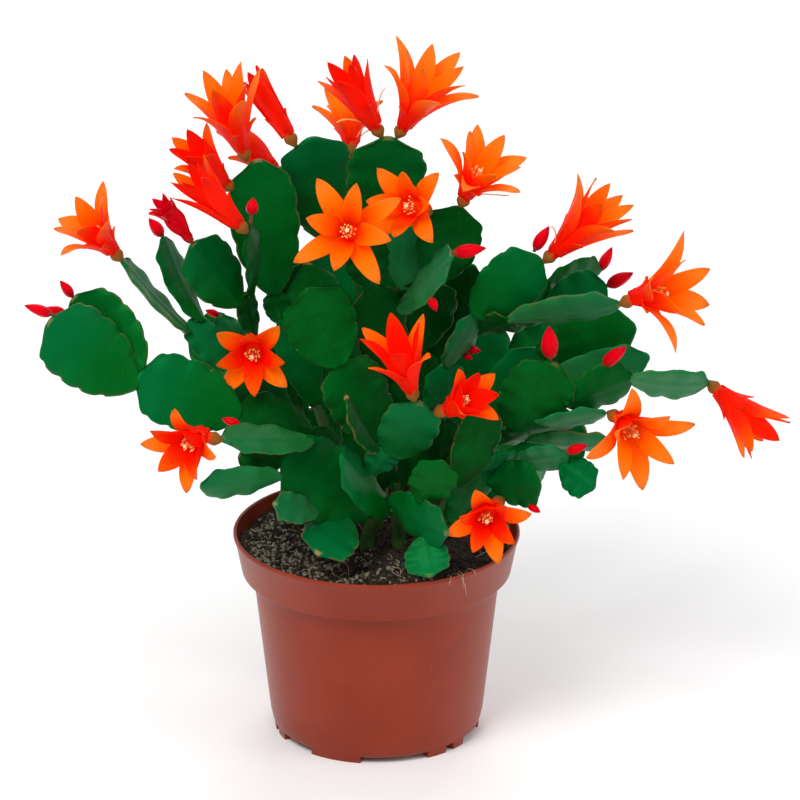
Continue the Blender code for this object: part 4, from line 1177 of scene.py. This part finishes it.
def grow_bloom(name):
    """A bloom in one piece: tube, two layers of petals, sepals, threads and stamens."""
    carrier, at, points_to, faces_to, spread, length, number, redness = BLOOMS[name]
    chance = random.Random(name)
    seat = PADS[carrier].edge(at, SEAT_GAP)
    ahead_of = way(*points_to).normalized()
    mouth_way = way(*faces_to).normalized()
    mouth = seat + ahead_of * TUBE_LENGTH
    side, up = across(mouth_way)
    turn = Matrix((side, up, mouth_way)).transposed().to_4x4()
    frame_of = Matrix.Translation(mouth) @ turn @ Matrix.Rotation(chance.uniform(0, math.tau), 4, "Z")
    growth = Growth(name + "_flower", (PETAL_SKIN, FILAMENT, POLLEN, STIGMA), BLOOM_NUMBERS)
    looks = random.Random(name + "_looks")

    ends = (seat - ahead_of * 1.0, seat + ahead_of * 5.0, mouth - mouth_way * 4.0,
            mouth + mouth_way * 0.8)
    points = along_course(TUBE, bezier(ends, len(TUBE_RADII)), TUBE_RADII)
    height = TUBE.points[:, 2]
    growth.put(TUBE, points, red=0.55 + 0.45 * redness, olive=1 - smooth(0.28, 0.55, height))

    sides = 2 * number
    opened = spread > OPEN_SPREAD
    slimness = SLIM_SHARE if spread < SLIM_SPREAD else 1.0
    for layer, layer_spread in ((0, spread), (1, spread * INNER_SPREAD)):
        for i in range(layer, sides, 2):
            long = length * chance.uniform(0.9, 1.05)
            wide = PETAL_WIDTH * chance.uniform(0.88, 1.0) * slimness
            lean = layer_spread * chance.uniform(0.95, 1.05)
            points, inner = petal_points(PETAL, math.tau * i / sides, lean, PETAL_ROOTS[layer],
                                         long, wide, looks.uniform(0.2, 0.6),
                                         looks.uniform(-14, 24) if opened else 0)
            growth.put(PETAL, moved(points, frame_of),
                       red=redness * (1 + 1.2 * layer) + looks.uniform(-0.1, 0.1),
                       inside=inner)
    for k in range(SEPALS):
        angle = math.tau * (k + 0.5 + looks.uniform(-0.2, 0.2)) / SEPALS
        long = length * looks.uniform(0.25, 0.42)
        points, inner = petal_points(PETAL, angle, 0.7 * spread + looks.uniform(2, 10),
                                     SEPAL_ROOT, long, SEPAL_WIDTH * looks.uniform(0.8, 1.1),
                                     0.5, looks.uniform(-5, 10))
        growth.put(PETAL, moved(points, frame_of), red=redness + 0.45, inside=inner)
    if name in THREADED:
        put_curled_threads(growth, frame_of, length, spread, looks)
    if opened:
        put_stamens(growth, frame_of, length, spread, looks)
    bloom = growth.grown()
    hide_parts(name)
    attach(bloom, "root")
    return bloom


blooms = [grow_bloom(name) for name in BLOOMS]
print("blooms:", len(blooms), "faces:", sum(len(bloom.data.polygons) for bloom in blooms))

# %% [markdown]
# ## Buds
# A closed bud is its petals wound round each other to a point, on a short brown foot. One more
# rolled grid makes it: its rings swell and close, and the radius steps at each petal's edge, with
# the steps winding up the bud. One bud has a slender neck. One has started to open, so it is a
# short bud with eight petals standing out of it.

# %% Bud skin
bud_skin = Finish("bud_skin", Specular_IOR_Level=0.2, Specular_Tint=(1.0, 0.15, 0.12, 1.0))
high = bud_skin.number("high")
spot_noise = bud_skin.noise(300.0, 3.0)
crimson = bud_skin.mix((high + 0.3 * spot_noise).step(0.2, 0.75), (0.48, 0.0, 0.004),
                       (0.66, 0.0, 0.008))
crimson = bud_skin.mix(high.step(0.75, 1.0) * 0.8, crimson, (0.34, 0.0, 0.02))
crimson = bud_skin.mix((high + 0.08 * spot_noise).step(0.2, 0.05), crimson, (0.16, 0.06, 0.02))
BUD_SKIN = bud_skin.set(Base_Color=crimson, Roughness=0.34 + 0.12 * spot_noise,
                        Normal=bud_skin.bump(spot_noise, 0.0001))

# %% Buds
BUD_SIDES = 24
BUD_NECK = 0.08
NECK_RADIUS = 0.7
NECKS = {"bud_06": 0.36}
OPENING = ("bud_04",)
OPENING_SLIM = 0.6
OPENING_SHORT = 0.45
OPENING_PETALS = 4
OPENING_WIDTH = 7.4
OPENING_ROOT = (0.6, 0.5)
# The two layers of an opening bud's petals, and how far each leans out, in degrees.
OPENING_LAYERS = ((0, 15), (1, 10))
bud_tube = add(bpy.ops.mesh.primitive_grid_add, "bud_tube", size=2, x_subdivisions=BUD_SIDES,
               y_subdivisions=22)
BUD = Master(roll_up(bud_tube, BUD_SIDES))
BUD_PROFILE = ((0.0, 0.35), (0.04, 0.52), (0.12, 0.72), (0.2, 0.85), (0.32, 0.92), (0.45, 0.91),
               (0.6, 0.8), (0.75, 0.6), (0.88, 0.35), (0.96, 0.17), (1.0, 0.03))


def put_opening_petals(growth, seat, ahead_of, side, up, length):
    """The petals of a bud that has started to open."""
    frame_of = Matrix.Translation(seat) @ Matrix((side, up, ahead_of)).transposed().to_4x4()
    for layer, spread in OPENING_LAYERS:
        for k in range(OPENING_PETALS):
            angle = math.tau * (k + 0.5 * layer) / OPENING_PETALS
            points, _ = petal_points(PETAL, angle, spread, OPENING_ROOT,
                                     length * (0.7 + 0.1 * layer), OPENING_WIDTH, 1.1, -14 + 18 * k)
            growth.put(PETAL, moved(points, frame_of), high=0.3 + 0.35 * (PETAL.points[:, 1] + 1) / 2)


def grow_bud(name):
    """A bud in one piece: its foot and wound petals, or the petals of an opening one."""
    carrier, at, points_to, length, width = BUDS[name]
    neck = NECKS.get(name, BUD_NECK)
    opening = name in OPENING
    seat = PADS[carrier].edge(at, SEAT_GAP)
    ahead_of = way(*points_to).normalized()
    side, up = across(ahead_of)
    x, y, z = BUD.points.T
    turn = np.arctan2(y, x)
    shares, radii = zip(*BUD_PROFILE)
    wrap = (3 * turn / math.tau + 0.9 * z) % 1.0
    step = 0.10 * (smooth(0.0, 0.75, wrap) - smooth(0.9, 1.0, wrap)) * np.sin(math.pi * z) ** 0.6
    above = np.clip((z - neck) / (1 - neck), 0, 1)
    slimness = OPENING_SLIM if opening else 1.0
    reach = width / 2 * np.interp(above, shares, radii) * (0.95 + step) * slimness
    reach = np.where(above > 0, reach, NECK_RADIUS)
    tall = (length + 0.8) * (OPENING_SHORT if opening else 1.0)
    points = (np.array(seat - ahead_of * 0.8) + np.outer(z * tall, ahead_of)
              + np.outer(reach * np.cos(turn), side) + np.outer(reach * np.sin(turn), up))
    growth = Growth(name + "_closed", (BUD_SKIN,), ("high",))
    growth.put(BUD, points, high=above * (0.5 if opening else 1.0))
    if opening:
        put_opening_petals(growth, seat, ahead_of, side, up, length)
    bud = growth.grown()
    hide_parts(name)
    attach(bud, "root")
    return bud


buds = [grow_bud(name) for name in BUDS]
print("buds:", len(buds))

# %% [markdown]
# ## Pot
# The pot is a thin moulded nursery pot: a tapered body, a deep collar under the rim, and low feet
# under the base that let water run out. It is turned as on a wheel: a disc is extruded section by
# section up the outside, over the rim and down the inside. More sides than the measured model has
# make it round.

# %% Pot's sections
RIM_RADIUS = 60.0
COLLAR_FOOT_RADIUS = 56.5
COLLAR_HEIGHT = 17.5
BODY_TOP_RADIUS = 52.0
BASE_RADIUS = 44.0
BASE_EDGE_ROUND = 3.0
WALL = 1.3
FLOOR = 1.6
FOOT_HEIGHT = 2.0
FOOT_ARC = 120
BOSS_RADIUS = 9.0
DRAIN_RADIUS = 4.0
DRAIN_CIRCLE = 31.0
DRAIN_COUNT = 6
POT_SIDES = 120
EDGE_ROUND = 0.6
FEET = ((-40, -8), (31, 43), (47, 58))
SHOULDER = POT_HEIGHT - COLLAR_HEIGHT
FLOOR_TOP = FOOT_HEIGHT + FLOOR
POT_SECTIONS = (
    (BOSS_RADIUS, 0.0),
    (BOSS_RADIUS + 0.8, FOOT_HEIGHT),
    (BASE_RADIUS - 4.6, FOOT_HEIGHT),
    (BASE_RADIUS - BASE_EDGE_ROUND, FOOT_HEIGHT),
    (BASE_RADIUS - 1.5, FOOT_HEIGHT + 0.35),
    (BASE_RADIUS - 0.5, FOOT_HEIGHT + 1.2),
    (BASE_RADIUS, FOOT_HEIGHT + 2.6),
    (BASE_RADIUS + 0.9, 0.12 * SHOULDER),
    (BODY_TOP_RADIUS - 0.9, 0.9 * SHOULDER),
    (BODY_TOP_RADIUS - 0.1, SHOULDER - 1.0),
    (BODY_TOP_RADIUS + 0.4, SHOULDER - 0.1),
    (COLLAR_FOOT_RADIUS - 1.0, SHOULDER),
    (COLLAR_FOOT_RADIUS - 0.3, SHOULDER + 0.2),
    (COLLAR_FOOT_RADIUS, SHOULDER + 0.9),
    (RIM_RADIUS - 0.75, POT_HEIGHT - 2.6),
    (RIM_RADIUS - 0.25, POT_HEIGHT - 2.0),
    (RIM_RADIUS, POT_HEIGHT - 1.3),
    (RIM_RADIUS, POT_HEIGHT - 0.7),
    (RIM_RADIUS - 0.3, POT_HEIGHT - 0.15),
    (RIM_RADIUS - 0.8, POT_HEIGHT),
    (RIM_RADIUS - WALL - 0.1, POT_HEIGHT - 0.3),
    (RIM_RADIUS - WALL - 0.4, POT_HEIGHT - 1.2),
    (COLLAR_FOOT_RADIUS - WALL, SHOULDER + WALL + 0.6),
    (COLLAR_FOOT_RADIUS - WALL - 1.0, SHOULDER + WALL),
    (BODY_TOP_RADIUS - WALL, SHOULDER + WALL - 0.4),
    (BASE_RADIUS - WALL, FLOOR_TOP + BASE_EDGE_ROUND - 1.0),
    (BASE_RADIUS - WALL - 1.6, FLOOR_TOP),
)

# %% Pot turned from a disc
start_radius, start_height = POT_SECTIONS[0]
pot = add(bpy.ops.mesh.primitive_circle_add, "pot_moulded", vertices=POT_SIDES,
          radius=start_radius * MM, fill_type="NGON", location=(0, 0, start_height * MM))
bpy.ops.object.transform_apply(location=True, rotation=True, scale=True)
pick_faces(pot, lambda centre, normal: True)
before_radius, before_height = start_radius, start_height
for radius, height in POT_SECTIONS[1:]:
    bpy.ops.mesh.extrude_region_move(
        TRANSFORM_OT_translate={"value": (0, 0, (height - before_height) * MM)})
    grow = radius / before_radius
    bpy.ops.transform.resize(value=(grow, grow, 1), center_override=(0, 0, 0))
    before_radius, before_height = radius, height
bpy.ops.mesh.select_all(action="SELECT")
bpy.ops.mesh.normals_make_consistent(inside=False)
done()
print("pot:", len(pot.data.polygons), "faces")

# %% [markdown]
# The feet are arcs under the base's edge: one long and two short ones, three times round.
# The faces of the base that lie over each arc are picked by their angle, extruded down and
# pressed flat on the ground. Six drain holes are cut by round bars through the floor.

# %% Feet and drain holes
def under_foot(centre, normal):
    """Whether a face of the pot's base lies over a foot."""
    radius = math.hypot(centre.x, centre.y) / MM
    if normal.z > -0.6 or not BASE_RADIUS - 4.6 < radius < BASE_RADIUS - 0.9:
        return False
    degrees = math.degrees(math.atan2(centre.x, -centre.y)) % FOOT_ARC
    return any(low <= degrees - shift <= high for low, high in FEET for shift in (0, FOOT_ARC))


pick_faces(pot, under_foot)
bpy.ops.mesh.extrude_region_move(TRANSFORM_OT_translate={"value": (0, 0, -FOOT_HEIGHT * MM)})
bpy.ops.transform.resize(value=(0.992, 0.992, 0), center_override=(0, 0, 0))
done()
for i in range(DRAIN_COUNT):
    t = math.tau * (i + 0.5) / DRAIN_COUNT
    spot = (DRAIN_CIRCLE * math.cos(t) * MM, DRAIN_CIRCLE * math.sin(t) * MM, FLOOR_TOP * MM)
    bar = add(bpy.ops.mesh.primitive_cylinder_add, "bar", vertices=24, radius=DRAIN_RADIUS * MM,
              depth=0.02, location=spot)
    apply(pot, "BOOLEAN", object=bar, operation="DIFFERENCE", solver="EXACT")
    bpy.data.objects.remove(bar)
apply(pot, "BEVEL", width=EDGE_ROUND * MM, segments=3, limit_method="ANGLE",
      angle_limit=math.radians(50))
only(pot)
bpy.ops.object.shade_smooth_by_angle(angle=math.radians(40))
print("pot with feet:", len(pot.data.polygons), "faces")

# %% [markdown]
# The plastic is a matt terracotta brown with a soft sheen. It has faint cloudy patches, long fine
# scuffs and a fine grain.

# %% Pot plastic
plastic = Finish("pot_plastic", Specular_IOR_Level=0.33, Specular_Tint=(1.0, 0.7, 0.6, 1.0))
clouds = plastic.noise(35.0, 4.0, 0.5)
grain = plastic.noise(2500.0, 2.0, 0.5)
stretched = plastic.node("ShaderNodeMapping", {"vector_type": "POINT"},
                         {"Vector": plastic.place(), "Scale": (1.0, 1.0, 0.12)})
scuffs = plastic.noise(500.0, 4.0, 0.7, stretched).step(0.62, 0.75)
brown = plastic.mix(clouds.step(0.3, 0.7), (0.225, 0.024, 0.009), (0.262, 0.031, 0.011))
brown = plastic.mix(scuffs * 0.12, brown, (0.42, 0.16, 0.11))
brown = plastic.mix(grain.step(0.55, 0.8) * 0.15, brown, (0.36, 0.09, 0.05))
POT_PLASTIC = plastic.set(Base_Color=brown, Roughness=0.30 + 0.12 * clouds + 0.15 * scuffs,
                          Normal=plastic.bump(grain + 2.0 * clouds, 0.00003))
pot.data.materials.clear()
pot.data.materials.append(POT_PLASTIC)
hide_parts("pot")
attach(pot, "root")

# %% [markdown]
# ## Soil
# The pot is filled to just under its rim with dark peat: crumbs, lumps, pale grains of pumice and
# short fibres. The bed is a dense grid drawn into a disc, which leaves no pole in the middle.
# Noise lifts it into lumps, and then its edge is extruded down the inside of the pot.

# %% The bed of soil
CLEARANCE = 0.3
SOIL_BUMP = 1.3
LUMP_HEIGHT = 1.5
RIDGE_HEIGHT = 0.9
WALL_DIP = 1.2
BED_SPLITS = 150
BED_RADIUS = 57.1


def soil_height(x, y):
    """The measured model's uneven top of the soil: a few waves of unlike length."""
    waves = math.sin(0.21 * x + 0.9) * math.cos(0.17 * y) + 0.6 * math.sin(0.31 * y - 0.24 * x)
    return SOIL_TOP + SOIL_BUMP * waves


def crumbled(x, y):
    """The top with its lumps: large ones, small ones, and a dip towards the pot's wall."""
    spot = Vector((x * 0.16, y * 0.16, 0.0))
    lump = noise.fractal(spot, 0.9, 2.1, 5)
    ridge = abs(noise.noise(spot * 3.1))
    edge = max(0.0, (math.hypot(x, y) - 50) / 8) ** 2
    return soil_height(x, y) - 0.6 + LUMP_HEIGHT * lump + RIDGE_HEIGHT * ridge - WALL_DIP * edge


bed = add(bpy.ops.mesh.primitive_grid_add, "soil_bed", size=2,
          x_subdivisions=BED_SPLITS, y_subdivisions=BED_SPLITS)
for vertex in bed.data.vertices:
    u, v = vertex.co.x, vertex.co.y
    x = u * math.sqrt(1 - v * v / 2) * BED_RADIUS
    y = v * math.sqrt(1 - u * u / 2) * BED_RADIUS
    vertex.co = Vector((x, y, crumbled(x, y))) * MM
only(bed)
bpy.ops.object.mode_set(mode="EDIT")
bpy.ops.mesh.select_mode(type="EDGE")
bpy.ops.mesh.select_all(action="DESELECT")
bpy.ops.mesh.select_non_manifold(extend=False)
bed_sections = ((COLLAR_FOOT_RADIUS - WALL - 0.7, SHOULDER + WALL + 0.9),
                (BODY_TOP_RADIUS - WALL - 0.5, SHOULDER + WALL - 0.4),
                (BASE_RADIUS - WALL - 0.5, FLOOR_TOP + BASE_EDGE_ROUND),
                (BASE_RADIUS - WALL - 2.2, FLOOR_TOP + CLEARANCE))
before_radius = BED_RADIUS
for radius, height in bed_sections:
    bpy.ops.mesh.extrude_edges_move()
    bpy.ops.transform.resize(value=(radius / before_radius, radius / before_radius, 0),
                             center_override=(0, 0, 0))
    bpy.ops.transform.translate(value=(0, 0, height * MM))
    before_radius = radius
bpy.ops.mesh.edge_face_add()
bpy.ops.mesh.select_all(action="SELECT")
bpy.ops.mesh.normals_make_consistent(inside=False)
done()
bpy.ops.object.shade_smooth()
print("soil bed:", len(bed.data.polygons), "faces")

# %% Peat
peat = Finish("peat", Roughness=0.95, Specular_IOR_Level=0.2)
crumbs = peat.noise(700.0, 6.0, 0.7)
patches = peat.noise(120.0, 4.0, 0.6)
specks = peat.noise(2200.0, 2.0, 0.5)
dark = peat.mix(crumbs.step(0.35, 0.65), (0.010, 0.008, 0.006), (0.050, 0.038, 0.026))
dark = peat.mix(patches.step(0.5, 0.7) * 0.6, dark, (0.075, 0.050, 0.032))
dark = peat.mix(specks.step(0.66, 0.72) * 0.7, dark, (0.30, 0.24, 0.17))
PEAT = peat.set(Base_Color=dark, Normal=peat.bump(crumbs + 0.4 * specks, 0.0012))
bed.data.materials.append(PEAT)

grit = Finish("pumice", Roughness=0.9, Specular_IOR_Level=0.3)
pits = grit.noise(1500.0, 4.0, 0.65)
GRIT = grit.set(Base_Color=grit.mix(pits.step(0.3, 0.7), (0.05, 0.045, 0.03), (0.34, 0.31, 0.21)),
                Normal=grit.bump(pits, 0.0003))
root_skin = Finish("root_thread", Roughness=0.7)
root_colour = root_skin.mix(root_skin.noise(400.0), (0.28, 0.17, 0.09), (0.62, 0.48, 0.34))
ROOT = root_skin.set(Base_Color=root_colour)

# %% [markdown]
# Crumbs of peat and grains of pumice lie on the bed. Each is a small ball of twenty faces, pulled
# out of shape. The photograph shows the pale grains mostly at the left and front left. Thin
# fibres lie among them, and a few pale root threads hang over the rim at the front right.

# %% Crumbs and grains
ball = add(bpy.ops.mesh.primitive_ico_sphere_add, "crumb", subdivisions=1, radius=1.0)
CRUMB = Master(ball)
CRUMBS = 1100
GRAINS = 1100
SCATTER_RADIUS = BED_RADIUS - 2.5


def scattered(name, finish, count, sizes, seed, spread):
    """Misshapen balls that lie on the soil: sizes in millimetres, and where they gather."""
    chance = random.Random(seed)
    growth = Growth(name, (finish,))
    for _ in range(count):
        x, y = spread(chance)
        size = chance.uniform(*sizes) * chance.uniform(0.6, 1.0)
        turn = Matrix.Rotation(chance.uniform(0, math.tau), 4, Vector(
            (chance.uniform(-1, 1), chance.uniform(-1, 1), chance.uniform(-1, 1))))
        shape = Matrix.Diagonal((size, size * chance.uniform(0.6, 1), size * chance.uniform(0.5, 0.9), 1))
        spot = Matrix.Translation((x, y, crumbled(x, y) + 0.25 * size))
        ragged = np.array([chance.uniform(0.75, 1.15) for _ in CRUMB.points])[:, None]
        growth.put(CRUMB, moved(CRUMB.points * ragged, spot @ turn @ shape))
    piece = growth.grown()
    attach(piece, "root")
    return piece


def anywhere(chance):
    """Evenly over the disc of soil."""
    radius = SCATTER_RADIUS * math.sqrt(chance.random())
    t = chance.uniform(0, math.tau)
    return radius * math.cos(t), radius * math.sin(t)


def front_left(chance):
    """Mostly near the pot's wall at the left and the front left."""
    radius = SCATTER_RADIUS * chance.random() ** 0.35
    t = math.radians(chance.gauss(203, 42))
    return radius * math.cos(t), radius * math.sin(t)


scattered("soil_crumbs", PEAT, CRUMBS, (0.5, 2.2), 5, anywhere)
scattered("soil_grains", GRIT, GRAINS, (0.4, 1.5), 6, front_left)
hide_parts("soil")
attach(bed, "root")
print("crumbs:", CRUMBS, "grains:", GRAINS)

# %% Fibres and root threads
FIBRES = 90
FIBRE_RADIUS = 0.12
ROOT_RADIUS = 0.16
ROOT_START = 54
chance = random.Random(11)
growth = Growth("soil_fibres", (ROOT,))
for _ in range(FIBRES):
    x, y = anywhere(chance)
    t = chance.uniform(0, math.tau)
    long = chance.uniform(3, 9)
    course = []
    for k in range(THREAD_POINTS):
        share = k / (THREAD_POINTS - 1) - 0.5
        bent = 0.25 * long * math.sin(k * 0.9 + t)
        px = x + math.cos(t) * share * long - math.sin(t) * bent
        py = y + math.sin(t) * share * long + math.cos(t) * bent
        shrink = min(1.0, (BED_RADIUS - 1.5) / max(math.hypot(px, py), 1e-6))
        px, py = px * shrink, py * shrink
        course.append((px, py, crumbled(px, py) + 0.35 + 0.3 * math.sin(k)))
    growth.put(THREAD, along_course(THREAD, course, [FIBRE_RADIUS] * THREAD_POINTS))
fibres = growth.grown()
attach(fibres, "root")

# Threads over the rim: the angle from the front towards the right, and how far each hangs down.
RIM_THREADS = ((31, 3.0), (35, 10.0), (36.5, 5.5), (42, 2.5))
growth = Growth("rim_threads", (ROOT,))
for degrees, drop in RIM_THREADS:
    t = math.radians(degrees)
    out = Vector((math.sin(t), -math.cos(t), 0))
    side = Vector((math.cos(t), math.sin(t), 0)) * chance.uniform(-3, 3)
    start = out * ROOT_START
    low = start + side + UP * (crumbled(start.x, start.y) + 0.3)
    over = out * (RIM_RADIUS - 0.7) + UP * (POT_HEIGHT + 0.35)
    end = out * (RIM_RADIUS + 0.35) - side * 1.2 + UP * (POT_HEIGHT - drop)
    course = list(bezier((low, low + UP * 4, over + UP * 1.0 - out * 2, over), 4))
    course += list(bezier((over, over + out * 1.2, end + UP * drop * 0.5, end), 4)[1:])
    growth.put(THREAD, along_course(THREAD, course, [ROOT_RADIUS] * 6 + [ROOT_RADIUS / 2]))
threads = growth.grown()
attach(threads, "root")
print("fibres:", FIBRES, "threads over the rim:", len(RIM_THREADS))

# %% [markdown]
# ## Size
# The finer pieces are meant to fill the same box as the measured model. Both boxes are written down, so
# that they can be set side by side.

# %% Size and end
dressed_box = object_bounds()
for label, (low, high) in (("measured", measured_box), ("dressed", dressed_box)):
    print(label, [round(float(c) / MM, 1) for c in low], [round(float(c) / MM, 1) for c in high])
